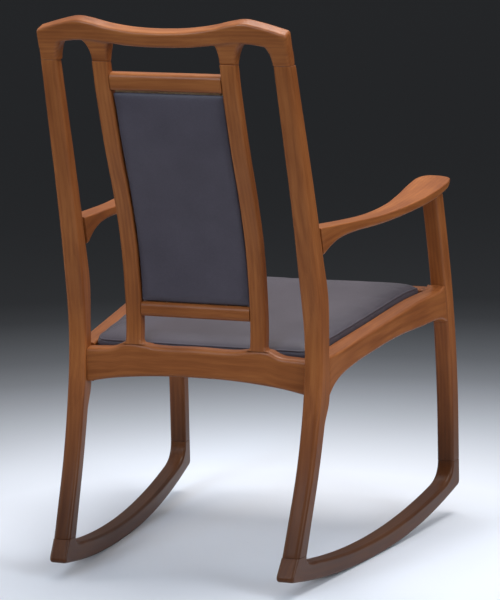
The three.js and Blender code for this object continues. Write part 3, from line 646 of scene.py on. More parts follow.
@dataclass
class SideFrame:
    """One bent side of the chair: rocker, rear post, front leg, seat rail and arm."""

    side: Side
    wood: bpy.types.Material
    edge_round: float = 6.0
    joint_round: float = 0.7
    rocker_top_radius: float = 1614.0
    rocker_top_middle: float = 44.0
    rocker_top_low: float = 25.9
    rocker_front_radius: float = 1355.0
    rocker_rear_radius: float = 1730.0
    rocker_touch: float = 38.0
    rocker_flat: float = 17.0
    leg_hollow: float = 44.0
    post_hollow: float = 40.0
    front_corner: float = 7.0
    rear_corner: float = 12.0
    front_tip: float = -375.0
    rear_tip: float = 387.0
    rail_inset: float = 2.0
    rail_width: float = 38.0
    arm_front: float = -397.6
    rail_top: Curve = Curve((
        (-330, 468), (-311, 463), (-299, 457), (-280, 455.5), (-253, 455), (-197, 453),
        (-141, 448), (-31, 436), (79, 425), (150, 418), (225, 413),
    ))
    rail_bottom: Curve = Curve((
        (-330, 384), (-311, 391), (-299, 397), (-280, 400), (-203, 400), (-90, 399), (19, 390),
        (125, 377), (177, 364), (204, 350), (222, 334),
    ))
    arm_top: Curve = Curve((
        (-398, 670), (-343, 669), (-290, 666), (-206, 658), (-110, 652), (0, 649), (110, 652), (240, 658),
    ))
    arm_outer: Curve = Curve((
        (-398, 254), (-386, 279), (-349, 298), (-290, 306), (-206, 304),
        (-110, 297), (0, 286), (110, 272), (240, 256),
    ))
    arm_inner: Curve = Curve((
        (-398, 243), (-390, 234), (-365, 228), (-303, 232), (-206, 241),
        (-110, 249), (0, 247), (90, 239), (180, 224), (240, 216),
    ))
    arm_thickness: Curve = Curve((
        (-398, 8), (-355, 12), (-290, 16), (-110, 17), (30, 18), (120, 21), (170, 27), (205, 37), (240, 52),
    ))

    def rocker_top(self, y: Array | float) -> Array:
        """Height of the rocker's upper edge: its lowest height plus r less the root of r^2 - d^2."""
        away = np.asarray(y, float) - self.rocker_top_middle
        return self.rocker_top_low + self.rocker_top_radius - np.sqrt(self.rocker_top_radius**2 - away**2)

    def rocker_bottom(self, y: Array | float) -> Array:
        """Height of the running edge: a short flat, a tighter arc in front and a wider one behind."""
        away = np.asarray(y, float) - self.rocker_touch
        radius = np.where(away < 0, self.rocker_front_radius, self.rocker_rear_radius)
        past = np.maximum(np.abs(away) - self.rocker_flat, 0.0)
        return radius - np.sqrt(radius**2 - past**2) - LINES.rise

    def bezier(self, start: Array, corner: Array, end: Array, t: Array) -> Array:
        """Points on a curve that leaves start towards corner and arrives at end from it."""
        t = t[:, None]
        return (1 - t) ** 2 * start + 2 * t * (1 - t) * corner + t**2 * end

    def upright(self, low: float, high: float, front: Callable, rear: Callable, width: Callable,
                radii: tuple[float, float, float, float], count: int, shift: float) -> Skin:
        """A post or leg as level sections from low to high.

        Args:
            low, high: heights of its ends.
            front, rear: y of its faces as functions of height.
            width: its width inwards from the frame's outer face, as a function of height.
            radii: corner radii, outer-front, inner-front, inner-rear and outer-rear.
            count: stations between its rounded ends.
            shift: offset of its grain.

        Returns:
            The skin of the left one.
        """
        along, inset = eased(high - low, count, self.joint_round, self.joint_round)
        z = low + along
        a, y = SECTION.rings((np.zeros_like(z), width(z)), (front(z), rear(z)), radii, inset)
        points = np.stack([LINES.outer_x(y) - a, y, z[:, None] + np.zeros_like(a)], -1)
        return skin_with_grain(points, a, y, shift)

    def rear_post(self) -> bpy.types.Object:
        """The long curved post from rocker to crest rail."""
        skin = self.upright(LINES.rocker_joint_rear + LINES.gap, LINES.crest_joint, LINES.post_front_y,
                            LINES.post_rear, LINES.post_width, radii=(6.0, 6.0, 9.0, 9.0),
                            count=110, shift=140.0 * self.side.value)
        return self.put("rear_post", skin)

    def front_leg(self) -> bpy.types.Object:
        """The curved leg from rocker to arm."""
        skin = self.upright(LINES.rocker_joint_front + LINES.gap, LINES.arm_joint - 3, LINES.leg_front,
                            LINES.leg_rear_y, lambda z: np.full_like(z, LINES.frame_width),
                            radii=(6.0, 6.0, 6.0, 6.0), count=70, shift=310.0 * self.side.value)
        return self.put("front_leg", skin)

    def rocker_edges(self) -> tuple[Array, Array]:
        """The rocker's outer and inner edge, side by side, from the front joint to the rear one.

        Both run down the front stub, round the corner, along their arcs about one centre, and up
        the rear stub, with the outer edge spread over its length as the inner one goes round its
        curve.

        Returns:
            Two rows of (y, z) points.
        """
        leg_rear = self.front_tip + LINES.leg_depth
        front_z, rear_z = LINES.rocker_joint_front, LINES.rocker_joint_rear
        rear, front = float(LINES.post_rear(rear_z)), float(LINES.post_front_y(rear_z))
        leg_blend, post_blend = leg_rear + self.leg_hollow, front - self.post_hollow
        low, top = self.rocker_bottom, self.rocker_top
        tip_z = float(low(self.front_tip))
        corner, reach = self.front_corner, self.rear_corner
        t = np.linspace(0, 1, 60)
        inner_a = self.bezier(np.array([leg_rear, front_z]), np.array([leg_rear, top(leg_rear)]),
                              np.array([leg_blend, top(leg_blend)]), t)
        ys = np.linspace(self.front_tip + corner, leg_blend, 60)
        outer_a = np.concatenate([
            np.stack([np.full(30, self.front_tip), np.linspace(front_z, tip_z + corner, 30)], 1),
            self.bezier(np.array([self.front_tip, tip_z + corner]), np.array([self.front_tip, tip_z]),
                        np.array([ys[0], low(ys[0])]), np.linspace(0, 1, 12))[1:],
            np.stack([ys, low(ys)], 1)[1:],
        ])
        flat_ends = [self.rocker_touch - self.rocker_flat, self.rocker_touch + self.rocker_flat]
        ym = np.unique(np.concatenate([np.linspace(leg_blend, post_blend, 100), flat_ends]))[1:-1]
        inner_b, outer_b = np.stack([ym, top(ym)], 1), np.stack([ym, low(ym)], 1)
        inner_c = self.bezier(np.array([post_blend, top(post_blend)]),
                              np.array([front + 8, top(post_blend) + 2]), np.array([front, rear_z]), t)
        tip = np.array([self.rear_tip, float(low(self.rear_tip))])
        joint = np.array([rear, rear_z])
        ys = np.linspace(post_blend, self.rear_tip - reach, 60)
        up = tip + (joint - tip) * reach / np.linalg.norm(joint - tip)
        outer_c = np.concatenate([
            np.stack([ys, low(ys)], 1),
            self.bezier(np.array([ys[-1], low(ys[-1])]), tip, up, np.linspace(0, 1, 16))[1:],
            up + (joint - up) * np.linspace(0, 1, 20)[1:, None],
        ])
        return (np.concatenate([self.spread(outer_a, len(t)), outer_b, self.spread(outer_c, len(t))]),
                np.concatenate([inner_a, inner_b, inner_c]))

    @staticmethod
    def spread(edge: Array, count: int) -> Array:
        """So many points spaced evenly along the length of an edge."""
        along = lengths_along(edge)
        share = np.linspace(0, 1, count)
        return np.stack([np.interp(share, along / along[-1], edge[:, k]) for k in (0, 1)], 1)

    def rocker(self) -> bpy.types.Object:
        """The curved rocker with a short stub at each end.

        Each section lies between a point of the outer edge and its partner on the inner edge.
        """
        outer, inner = self.rocker_edges()
        reach = np.linalg.norm(inner - outer, axis=1)
        way = (inner - outer) / reach[:, None]
        angle = np.linspace(0, np.pi / 2, 4)
        middle = np.zeros(len(outer) - 2)
        inset, lower = (
            np.concatenate([ease, middle, ease[::-1]]) * self.joint_round
            for ease in (1 - np.sin(angle), 1 - np.cos(angle))
        )
        rows = np.concatenate([[0] * 4, np.arange(1, len(outer) - 1), [len(outer) - 1] * 4])
        a, b = SECTION.rings((np.zeros(len(rows)), np.full(len(rows), LINES.frame_width)),
                             (np.zeros(len(rows)), reach[rows]), (self.edge_round,) * 4, inset)
        y = outer[rows, 0, None] + way[rows, 0, None] * b
        z = outer[rows, 1, None] + way[rows, 1, None] * b - lower[:, None]
        points = np.stack([LINES.outer_x(y) - a, y, z], -1)
        return self.put("rocker", skin_with_grain(points, a, b, 520.0 * self.side.value))

    def seat_rail(self) -> bpy.types.Object:
        """The side seat rail, whose front end is shaped to the back of the leg."""
        start, end = -315.4, LINES.post_front - LINES.gap
        along, inset = eased(end - start, 60, self.joint_round, self.joint_round)
        station = start + along
        a, z = SECTION.rings((self.rail_inset, self.rail_inset + self.rail_width),
                             (self.rail_bottom(station), self.rail_top(station)), (5.0, 5.0, 4.0, 5.0), inset)
        pull = (1 - along / (end - start))[:, None] ** 8
        y = station[:, None] + pull * (LINES.leg_rear_y(z) + LINES.gap - start)
        points = np.stack([LINES.outer_x(y) - a, y, z], -1)
        return self.put("side_seat_rail", skin_with_grain(points, a, z, 730.0 * self.side.value))

    def arm(self) -> bpy.types.Object:
        """The flat arm, with a rounded paddle in front and a deep end shaped to the post."""
        post_y = lambda z: LINES.post_front_y(z)
        start, end = self.arm_front, float(post_y(634.0))
        along, inset = eased(end - start, 110, 3.0, self.joint_round)
        station = start + along
        top, thick = self.arm_top(station), self.arm_thickness(station)
        x, z = SECTION.rings((self.arm_inner(station), self.arm_outer(station)), (top - thick, top),
                             (6.0, 6.0, 2.6, 2.6), inset)
        pull = (along / (end - start))[:, None] ** 14
        y = station[:, None] + pull * (post_y(z) - LINES.gap - end)
        return self.put("arm", skin_with_grain(np.stack([x, y, z], -1), x, z, 910.0 * self.side.value))

    def put(self, node: str, skin: Skin) -> bpy.types.Object:
        """Makes the piece on this side and puts it in place of its solid."""
        name = f"{node}_{self.side.word}"
        piece = new_mesh(f"{name}.shaped", [skin.on(self.side)])
        return settle(piece, self.wood, [name])

    def build(self) -> list[bpy.types.Object]:
        """Every piece of this side."""
        return [self.rocker(), self.rear_post(), self.front_leg(), self.seat_rail(), self.arm()]


# ------------------------------------------------------------------ back and cross rails


@dataclass
class CrossFrame:
    """The pieces between the two sides: stiles, crest rail, panel rails and seat rails."""

    wood: bpy.types.Material
    joint_round: float = 0.7
    rear_rail_front: float = 218.5
    rear_rail_depth: float = 30.0
    front_rail_depth: float = 42.0
    front_rail_top: float = 456.0
    panel_top_rail: tuple[float, float] = (925.0, 33.0)
    panel_bottom_rail: tuple[float, float] = (488.0, 27.0)
    panel_rail_depth: float = 21.0
    foot_radius: float = 10.0
    crest_thickness: float = 30.0
    crest_lean: float = 0.3
    crest_bow: float = 10.0
    crest_spare: float = 0.6
    crest_level: float = 1000.0
    bow_reach: float = 200.0
    stub_width: float = 33.6
    stub_top: float = 1008.0
    stub_spare: float = 9.0
    stub_lean: float = 0.27
    flare_share: float = 0.96
    rear_rail_top: Curve = Curve((
        (0, 419), (88, 419), (98, 421), (152, 421), (158, 417), (172, 412.5), (190, 411), (240, 409),
    ))
    rear_rail_bottom: Curve = Curve(((0, 364), (60, 363), (120, 359), (180, 352), (225, 343), (260, 336)))
    front_rail_bottom: Curve = Curve(((0, 412), (150, 410), (240, 404), (290, 398)))
    crest_top: Curve = Curve((
        (0, 1019.5), (50, 1021.5), (100, 1028), (135, 1036), (162, 1040), (190, 1035), (244, 1020),
    ))
    crest_bottom: Curve = Curve(((0, 991.5), (60, 993), (100, 997), (164, 1001), (200, 996), (244, 980)))

    def back_stile(self, side: Side) -> bpy.types.Object:
        """A back stile: level sections that follow its bend and spread at the foot."""
        low, high = LINES.stile_foot + LINES.gap, LINES.crest_joint
        along, inset = eased(high - low, 90, self.joint_round, self.joint_round)
        hollow = np.linspace(self.joint_round + 0.4, self.foot_radius, 10)
        spots = np.argsort(np.concatenate([along, hollow]))
        along, inset = np.concatenate([along, hollow])[spots], np.concatenate([inset, np.zeros(10)])[spots]
        z = low + along
        down = np.clip((LINES.stile_foot + self.foot_radius - z) / self.foot_radius, 0, 0.98)
        half = LINES.stile_width / 2 + self.foot_radius * (1 - np.sqrt(1 - down**2))
        rear = LINES.stile_rear(z)
        x, y = SECTION.rings((LINES.stile_x - half, LINES.stile_x + half), (rear - LINES.stile_depth, rear),
                             (4.0, 4.0, 5.0, 5.0), inset)
        points = np.stack([x, y, z[:, None] + np.zeros_like(x)], -1)
        skin = skin_with_grain(points, x, y, 1100.0 * side.value).on(side)
        name = f"back_stile_{side.word}"
        return settle(new_mesh(f"{name}.shaped", [skin]), self.wood, [name])

    def between(self, node: str, reach: Callable, through: Callable, rise: Callable, place: Callable,
                radii: tuple[float, float, float, float], shift: float) -> bpy.types.Object:
        """A rail from side to side whose ends are shaped to their neighbours.

        A station u from -1 to 1 puts each point at x = u times the reach of that point.

        Args:
            node: the solid that it stands for.
            reach: half its length as a function of (y, z).
            through: its low and high side in depth, at |x|.
            rise: its low and high side in height, at |x|.
            place: turns section coordinates into y and z.
            radii: corner radii.
            shift: offset of its grain.

        Returns:
            The finished piece.
        """
        nominal = float(reach(*place(np.array(through(0.0)).mean(), np.array(rise(0.0)).mean())))
        along, inset = eased(2 * nominal, 80, self.joint_round, self.joint_round)
        u = along / nominal - 1
        a, b = SECTION.rings(through(np.abs(u) * nominal), rise(np.abs(u) * nominal), radii, inset)
        y, z = place(a, b)
        points = np.stack([u[:, None] * reach(y, z), y, z], -1)
        piece = new_mesh(f"{node}.shaped", [skin_with_grain(points, a, b, shift)])
        return settle(piece, self.wood, [node])

    def rear_seat_rail(self) -> bpy.types.Object:
        """The rear seat rail, arched below, with low platforms on top where the stiles stand."""
        front = self.rear_rail_front
        return self.between(
            "rear_seat_rail",
            lambda y, z: LINES.outer_x(y) - LINES.post_width(z) - LINES.gap,
            lambda x: (front + 0 * x, front + self.rear_rail_depth + 0 * x),
            lambda x: (self.rear_rail_bottom(x), self.rear_rail_top(x)),
            lambda a, b: (a, b), (6.0, 6.0, 9.0, 5.0), 1300.0,
        )

    def front_seat_rail(self) -> bpy.types.Object:
        """The front seat rail, which follows the lean of the front legs."""
        return self.between(
            "front_seat_rail",
            lambda y, z: LINES.outer_x(y) - LINES.frame_width - LINES.gap,
            lambda x: (0 * x, self.front_rail_depth + 0 * x),
            lambda x: (self.front_rail_bottom(x), self.front_rail_top + 0 * x),
            lambda a, b: (LINES.leg_front(b) + 3 + a, b), (6.0, 5.0, 5.0, 8.0), 1500.0,
        )

    def panel_rail(self, node: str, middle: float, height: float, shift: float) -> bpy.types.Object:
        """A rounded rail between the stiles, leaning with them."""
        lean = math.atan(float(LINES.stile_rear(middle + 10) - LINES.stile_rear(middle - 10)) / 20)
        rear = float(LINES.stile_rear(middle)) - 1
        half = height / 2
        return self.between(
            node,
            lambda y, z: LINES.stile_x - LINES.stile_width / 2 - LINES.gap + 0 * np.asarray(y, float),
            lambda x: (-self.panel_rail_depth + 0 * x, 0 * x),
            lambda x: (-half + 0 * x, half + 0 * x),
            lambda a, b: (rear + a * math.cos(lean) + b * math.sin(lean),
                          middle - a * math.sin(lean) + b * math.cos(lean)),
            (5.0, 7.0, 9.0, 6.0), shift,
        )

    def crest_rear(self, z: Array | float) -> Array:
        """Rear face of the crest rail: a plane that leans back from the top of the posts."""
        start = float(LINES.post_rear(LINES.crest_joint))
        return start + math.tan(self.crest_lean) * (np.asarray(z, float) - LINES.crest_joint)

    def crest_yoke(self) -> Skin:
        """The yoke from post to post: leaning sections between its lower and upper lines."""
        end = float(LINES.outer_x(LINES.post_rear(self.crest_level)))
        along, inset = eased(2 * end, 150, 5.0, 5.0)
        x = along - end
        low, high = self.crest_bottom(np.abs(x)), self.crest_top(np.abs(x))
        off_middle = np.minimum(np.abs(x), self.bow_reach) / self.bow_reach
        bow = self.crest_bow * np.cos(off_middle * np.pi / 2) ** 2
        a, b = SECTION.rings((-self.crest_thickness, 0.0), (0.0, (high - low) / math.cos(self.crest_lean)),
                             (5.0, 6.0, 5.5, 6.0), inset)
        cos, sin = math.cos(self.crest_lean), math.sin(self.crest_lean)
        y = (self.crest_rear(low) + bow)[:, None] + a * cos + b * sin
        z = low[:, None] - a * sin + b * cos
        return Skin(np.stack([x[:, None] + np.zeros_like(y), y, z], -1))

    def crest_stub(self, inner: Callable, outer: Callable, joint_front: float,
                   flare: tuple[float, float],
                   radii: tuple[float, float, float, float]) -> Skin:
        """A leg of the crest rail that widens upwards along a circle into the yoke.

        It starts a little below the joint, where the saw cut will be.

        Args:
            inner, outer: x of its sides as functions of height.
            joint_front: y of its front face at the joint.
            flare: how far the circle carries its inner and outer sides.
            radii: its corner radii.

        Returns:
            The skin of the left one.
        """
        foot, top = LINES.crest_joint, self.stub_top
        z = np.linspace(foot - self.stub_spare, top, 50)
        rise = np.clip((z - foot) / (top - foot), 0, self.flare_share)
        spread = 1 - np.sqrt(1 - rise**2)
        depth = self.crest_thickness / math.cos(self.crest_lean)
        blend = smoothstep(z, foot, self.crest_level)
        yoke_front = self.crest_rear(z) - depth + 0.8
        front = joint_front + (yoke_front - joint_front) * blend
        front = front + np.minimum(z - foot, 0) * self.stub_lean
        x, y = SECTION.rings((inner(z) - flare[0] * spread, outer(z) + flare[1] * spread),
                             (front, self.crest_rear(z) - 0.6), radii, np.full_like(z, -self.crest_spare))
        return Skin(np.stack([x, y, z[:, None] + np.zeros_like(x)], -1))

    def crest_rail(self) -> bpy.types.Object:
        """The crest rail: yoke and stubs merged into one skin, eased where they run together.

        The skin is rebuilt on a fine even grid, relaxed so that every inner corner becomes a
        hollow curve, and sawn level where it meets the posts and stiles.
        """
        half = LINES.stile_width / 2
        outside = lambda z: LINES.outer_x(LINES.post_rear(z)) - 0.4
        post = self.crest_stub(lambda z: outside(z) - self.stub_width, outside,
                               float(LINES.post_front_y(LINES.crest_joint)),
                               flare=(30.0, 0.0), radii=(6.0, 6.0, 8.0, 8.0))
        stile = self.crest_stub(lambda z: np.full_like(z, LINES.stile_x - half),
                                lambda z: np.full_like(z, LINES.stile_x + half),
                                float(LINES.stile_rear(LINES.crest_joint)) - LINES.stile_depth,
                                flare=(14.0, 28.0), radii=(4.0, 4.0, 5.0, 5.0))
        shells = [self.crest_yoke(), post, stile, post.mirrored(), stile.mirrored()]
        piece = new_mesh("crest_rail.shaped", shells)
        merge = piece.modifiers.new("merge", "REMESH")
        merge.mode, merge.voxel_size, merge.use_smooth_shade = "VOXEL", 1.5 * MM, True
        ease = piece.modifiers.new("ease", "SMOOTH")
        ease.factor, ease.iterations = 0.5, 10
        apply_modifiers(piece)
        sawn = bmesh.new()
        sawn.from_mesh(piece.data)
        level = (LINES.crest_joint + LINES.gap + LINES.rise) * MM
        cut = bmesh.ops.bisect_plane(sawn, geom=sawn.verts[:] + sawn.edges[:] + sawn.faces[:],
                                     plane_co=(0, 0, level), plane_no=(0, 0, 1), clear_inner=True)
        bmesh.ops.holes_fill(sawn, edges=[e for e in cut["geom_cut"] if isinstance(e, bmesh.types.BMEdge)])
        sawn.to_mesh(piece.data)
        sawn.free()
        add_grain(piece, (1, 2, 0), 1700.0)
        piece.data.polygons.foreach_set("use_smooth", np.ones(len(piece.data.polygons), bool))
        return settle(piece, self.wood, ["crest_rail"])

    def build(self) -> list[bpy.types.Object]:
        """Every piece between the sides."""
        return [
            self.back_stile(Side.LEFT), self.back_stile(Side.RIGHT), self.crest_rail(),
            self.rear_seat_rail(), self.front_seat_rail(),
            self.panel_rail("panel_top_rail", *self.panel_top_rail, 1900.0),
            self.panel_rail("panel_bottom_rail", *self.panel_bottom_rail, 2100.0),
        ]


def apply_modifiers(piece: bpy.types.Object) -> None:
    """Makes a piece's mesh what its modifiers show, and takes them off."""
    shown = piece.evaluated_get(bpy.context.evaluated_depsgraph_get())
    mesh = bpy.data.meshes.new_from_object(shown)
    piece.modifiers.clear()
    piece.data = mesh


def coordinates(piece: bpy.types.Object) -> Array:
    """Vertices of a piece as an array, in metres."""
    flat = np.empty(len(piece.data.vertices) * 3)
    piece.data.vertices.foreach_get("co", flat)
    return flat.reshape(-1, 3)


def add_grain(piece: bpy.types.Object, order: tuple[int, int, int], shift: float) -> None:
    """Writes a straight grain on a piece.

    Args:
        piece: the object.
        order: which axes run across, through and along the fibres.
        shift: offset along the fibres, in millimetres.
    """
    grain = coordinates(piece)[:, order] + np.array([shift * 0.37, shift * 0.21, shift]) * MM
    piece.data.attributes.new(GRAIN, "FLOAT_VECTOR", "POINT").data.foreach_set("vector", grain.ravel())


# ------------------------------------------------------------------ upholstery


@dataclass
class Pad:
    """An upholstered pad: a crowned closed form with a welt round its edge.

    A point has place (p, q) in the pad's own plan and height h above it. Sizes are in millimetres.
    """

    leather: bpy.types.Material
    welt_radius: float = 2.0
    count: int = 260
    swell: float = 5.0
    voxel: float = 6.0
    pressure: float = 4.0
    frames: int = 20

    def corners(self) -> list[tuple[float, float, float]]:
        """Corners of the plan as (p, q, corner radius), going round."""
        raise NotImplementedError

    def place(self, p: Array, q: Array, h: Array) -> Array:
        """Turns plan and height into points of the chair."""
        raise NotImplementedError

    def floor(self, q: Array) -> Array:
        """Height of the pad's underside."""
        raise NotImplementedError

    def ceiling(self, q: Array) -> Array:
        """Height of the pad's top at its edge."""
        raise NotImplementedError

    def outline(self) -> Array:
        """Plan of the pad: straight sides joined by round corners, in equal steps.

        A corner is a curve from one side to the next with the sharp corner as its handle.
        """
        corners = np.array(self.corners())
        runs = []
        for n, (p, q, radius) in enumerate(corners):
            here = np.array([p, q])
            toward = corners[n - 1, :2] - here
            away = corners[(n + 1) % len(corners), :2] - here
            start = here + toward / np.linalg.norm(toward) * radius
            end = here + away / np.linalg.norm(away) * radius
            t = np.linspace(0, 1, 14)[:, None]
            runs.append((1 - t) ** 2 * start + 2 * t * (1 - t) * here + t**2 * end)
        path = np.concatenate(runs + [runs[0][:1]])
        travel = lengths_along(path)
        at = np.linspace(0, travel[-1], self.count, endpoint=False)
        return np.stack([np.interp(at, travel, path[:, k]) for k in (0, 1)], 1)

    def form(self, crown: float, edge: float) -> Skin:
        """The pad's surface, row by row from the middle of its underside to the middle of its top.

        A row is the outline drawn in towards the middle by a share f. Over the top the height
        rises by the crown times 1 - exp(-distance / 55), and both edges are quarter circles.

        Args:
            crown: rise of the middle above the edge.
            edge: radius of its edges.

        Returns:
            The closed surface.
        """
        plan = self.outline()
        middle = (plan.max(0) + plan.min(0)) / 2
        half = float(np.min(plan.max(0) - plan.min(0))) / 2
        wide = np.concatenate([np.linspace(0.97, 0.12, 16), [0.07, 0.04]])
        angle = np.linspace(0, np.pi / 2, 6)
        soft = min(edge, 3.0)
        share = np.concatenate([
            wide, soft * (1 - np.sin(angle)) / half, [0.9 / half, 1.4 / half, 0.9 / half],
            edge * (1 - np.cos(angle)) / half, wide[::-1],
        ])
        rise_low = np.concatenate([np.zeros(len(wide)), soft * (1 - np.cos(angle)), np.full(3, np.nan),
                                   np.full(len(angle) + len(wide), np.nan)])
        drop_high = np.concatenate([np.full(len(wide) + len(angle) + 3, np.nan), edge * (1 - np.sin(angle)),
                                    np.zeros(len(wide))])
        mix = np.concatenate([np.full(len(wide) + len(angle), np.nan), [0.3, 0.55, 0.8],
                              np.full(len(angle) + len(wide), np.nan)])
        place = middle + (plan[None] - middle) * (1 - share[:, None, None])
        p, q = place[..., 0], place[..., 1]
        low, high = self.floor(q), self.ceiling(q)
        inside = (share * half)[:, None]
        top = high + crown * (1 - np.exp(-np.maximum(inside - edge, 0) / 55.0))
        h = np.where(~np.isnan(rise_low)[:, None], low + np.nan_to_num(rise_low)[:, None],
                     np.where(~np.isnan(mix)[:, None],
                              low + soft + (high - edge - low - soft) * np.nan_to_num(mix)[:, None],
                              top - np.nan_to_num(drop_high)[:, None]))
        return Skin(self.place(p, q, h))

    def limit(self, points: Array) -> Array:
        """How far each point may swell, in millimetres."""
        raise NotImplementedError

    def stuff(self, piece: bpy.types.Object) -> None:
        """Fills the pad: the cover is cloth under pressure from inside, held to its limits."""
        remesh = piece.modifiers.new("even", "REMESH")
        remesh.mode, remesh.voxel_size, remesh.use_smooth_shade = "VOXEL", self.voxel * MM, True
        apply_modifiers(piece)
        rest = coordinates(piece)
        cloth = piece.modifiers.new("cloth", "CLOTH")
        cloth.settings.use_pressure = True
        cloth.settings.uniform_pressure_force = self.pressure
        cloth.settings.effector_weights.gravity = 0.0
        cloth.settings.quality = 4
        cloth.point_cache.frame_start, cloth.point_cache.frame_end = 1, self.frames
        scene = bpy.context.scene
        for number in range(1, self.frames + 1):
            scene.frame_set(number)
        moved = np.empty(len(rest) * 3)
        shown = piece.evaluated_get(bpy.context.evaluated_depsgraph_get())
        shown.data.vertices.foreach_get("co", moved)
        piece.modifiers.clear()
        scene.frame_set(1)
        shift = moved.reshape(-1, 3) - rest
        size = np.linalg.norm(shift, axis=1)
        most = self.limit(rest / MM - [0.0, 0.0, LINES.rise]) * MM
        shift *= (np.minimum(size, most) / np.maximum(size, 1e-9))[:, None]
        LOG.info("%s: swelled by up to %.1f mm", piece.name, np.linalg.norm(shift, axis=1).max() / MM)
        piece.data.vertices.foreach_set("co", (rest + shift).ravel())
        finer = piece.modifiers.new("finer", "SUBSURF")
        finer.levels = finer.render_levels = 1
        relax = piece.modifiers.new("relax", "SMOOTH")
        relax.factor, relax.iterations = 0.5, 3
        apply_modifiers(piece)

    def welt(self, name: str, centre: Array, radius: float) -> bpy.types.Object:
        """A welt: a round tube along a closed path.

        Each ring is the path's point plus radius times cosine of the way out and sine of the way
        up, and the two ends of the grid are the same ring.

        Args:
            name: the piece's name.
            centre: points of its path, in millimetres.
            radius: its radius.

        Returns:
            The object.
        """
        ahead = np.roll(centre, -1, 0) - np.roll(centre, 1, 0)
        ahead /= np.linalg.norm(ahead, axis=1)[:, None]
        out = np.cross(ahead, self.normal)
        out /= np.linalg.norm(out, axis=1)[:, None]
        up = np.cross(out, ahead)
        angle = np.linspace(0, 2 * np.pi, 12, endpoint=False)
        rings = centre[:, None] + radius * (
            np.cos(angle)[None, :, None] * out[:, None] + np.sin(angle)[None, :, None] * up[:, None]
        )
        count, ring = rings.shape[:2]
        i, j = np.meshgrid(np.arange(count), np.arange(ring), indexing="ij")
        i2, j2 = (i + 1) % count, (j + 1) % ring
        quads = np.stack([i * ring + j, i2 * ring + j, i2 * ring + j2, i * ring + j2], -1).reshape(-1, 4)
        flat = rings.reshape(-1, 3)
        spot = flat[quads].mean(1)
        face = np.cross(flat[quads[:, 1]] - flat[quads[:, 0]], flat[quads[:, 2]] - flat[quads[:, 0]])
        if np.einsum("ij,ij->", face, spot - np.repeat(centre, ring, 0)) < 0:
            quads = quads[:, ::-1]
        mesh = bpy.data.meshes.new(name)
        mesh.from_pydata(((flat + [0.0, 0.0, LINES.rise]) * MM).tolist(), [], quads.tolist())
        mesh.polygons.foreach_set("use_smooth", np.ones(len(mesh.polygons), bool))
        mesh.update()
        made = bpy.data.objects.new(name, mesh)
        bpy.context.scene.collection.objects.link(made)
        return made

    @property
    def normal(self) -> Array:
        """The way up from the pad's plan."""
        raise NotImplementedError

    def on_surface(self, piece: bpy.types.Object, path: Array, lift: float) -> Array:
        """Moves a path onto the nearest points of a piece, and then out of it by lift."""
        mesh = piece.data
        tree = BVHTree.FromPolygons([v.co for v in mesh.vertices], [tuple(f.vertices) for f in mesh.polygons])
        lift_up = np.array([0.0, 0.0, LINES.rise])
        hits = [tree.find_nearest(tuple((p + lift_up) * MM)) for p in path]
        spots = np.array([tuple(h[0]) for h in hits]) / MM - lift_up
        normals = np.array([tuple(h[1]) for h in hits])
        for _ in range(3):
            spots = (np.roll(spots, 1, 0) + 2 * spots + np.roll(spots, -1, 0)) / 4
            normals = (np.roll(normals, 1, 0) + 2 * normals + np.roll(normals, -1, 0)) / 4
        normals /= np.linalg.norm(normals, axis=1)[:, None]
        return spots + normals * lift


@dataclass
class SeatPad(Pad):
    """The drop-in seat pad, on a board that rises forwards, with boxed sides."""

    front: float = -296.0
    rear: float = 216.0
    edge_inset: float = 41.4
    board_rear: float = 400.0
    board_slope: float = 0.064
    front_round: float = 26.0
    rear_round: float = 12.0
    top: Curve = Curve((
        (-296, 458), (-283, 464), (-252, 466.5), (-215, 466), (-100, 455.5), (0, 445.5), (100, 436),
        (205, 425.5), (216, 423),
    ))

    def corners(self) -> list[tuple[float, float, float]]:
        """The seat's plan, which narrows to the rear."""
        front, rear = (float(LINES.outer_x(y)) - self.edge_inset for y in (self.front, self.rear))
        return [
            (-front, self.front, self.front_round), (front, self.front, self.front_round),
            (rear, self.rear, self.rear_round), (-rear, self.rear, self.rear_round),
        ]

    def place(self, p: Array, q: Array, h: Array) -> Array:
        """Plan is level and height is up."""
        return np.stack([p, q, h], -1)

    def floor(self, q: Array) -> Array:
        """The top of the seat board, 0.3 mm clear."""
        return self.board_rear + (self.rear - q) * self.board_slope + 0.3

    def ceiling(self, q: Array) -> Array:
        """The edge of the top, which rolls down in front."""
        return self.top(q)

    def limit(self, points: Array) -> Array:
        """The top may swell, and the sides and the underside are held by the seat frame."""
        level = self.floor(points[:, 1])
        height = (points[:, 2] - level) / np.maximum(self.ceiling(points[:, 1]) - level, 1)
        return 0.4 + self.swell * smoothstep(height, 0.75, 1.0)

    @property
    def normal(self) -> Array:
        """Straight up."""
        return np.array([0.0, 0.0, 1.0])

    def build(self) -> list[bpy.types.Object]:
        """The pad and its welt."""
        pad = new_mesh("seat_pad.padded", [self.form(5.0, 7.0)])
        self.stuff(pad)
        settle(pad, self.leather, ["seat_cover", "seat_foam"])
        plan = self.outline()
        middle = (plan.max(0) + plan.min(0)) / 2
        plan = middle + (plan - middle) * (1 - 1.6 / 240)
        path = self.on_surface(pad, self.place(plan[:, 0], plan[:, 1], self.ceiling(plan[:, 1]) - 2.0), 0.3)
        welt = settle(self.welt("seat_pad.welt", path, self.welt_radius), self.leather, [])
        return [pad, welt]


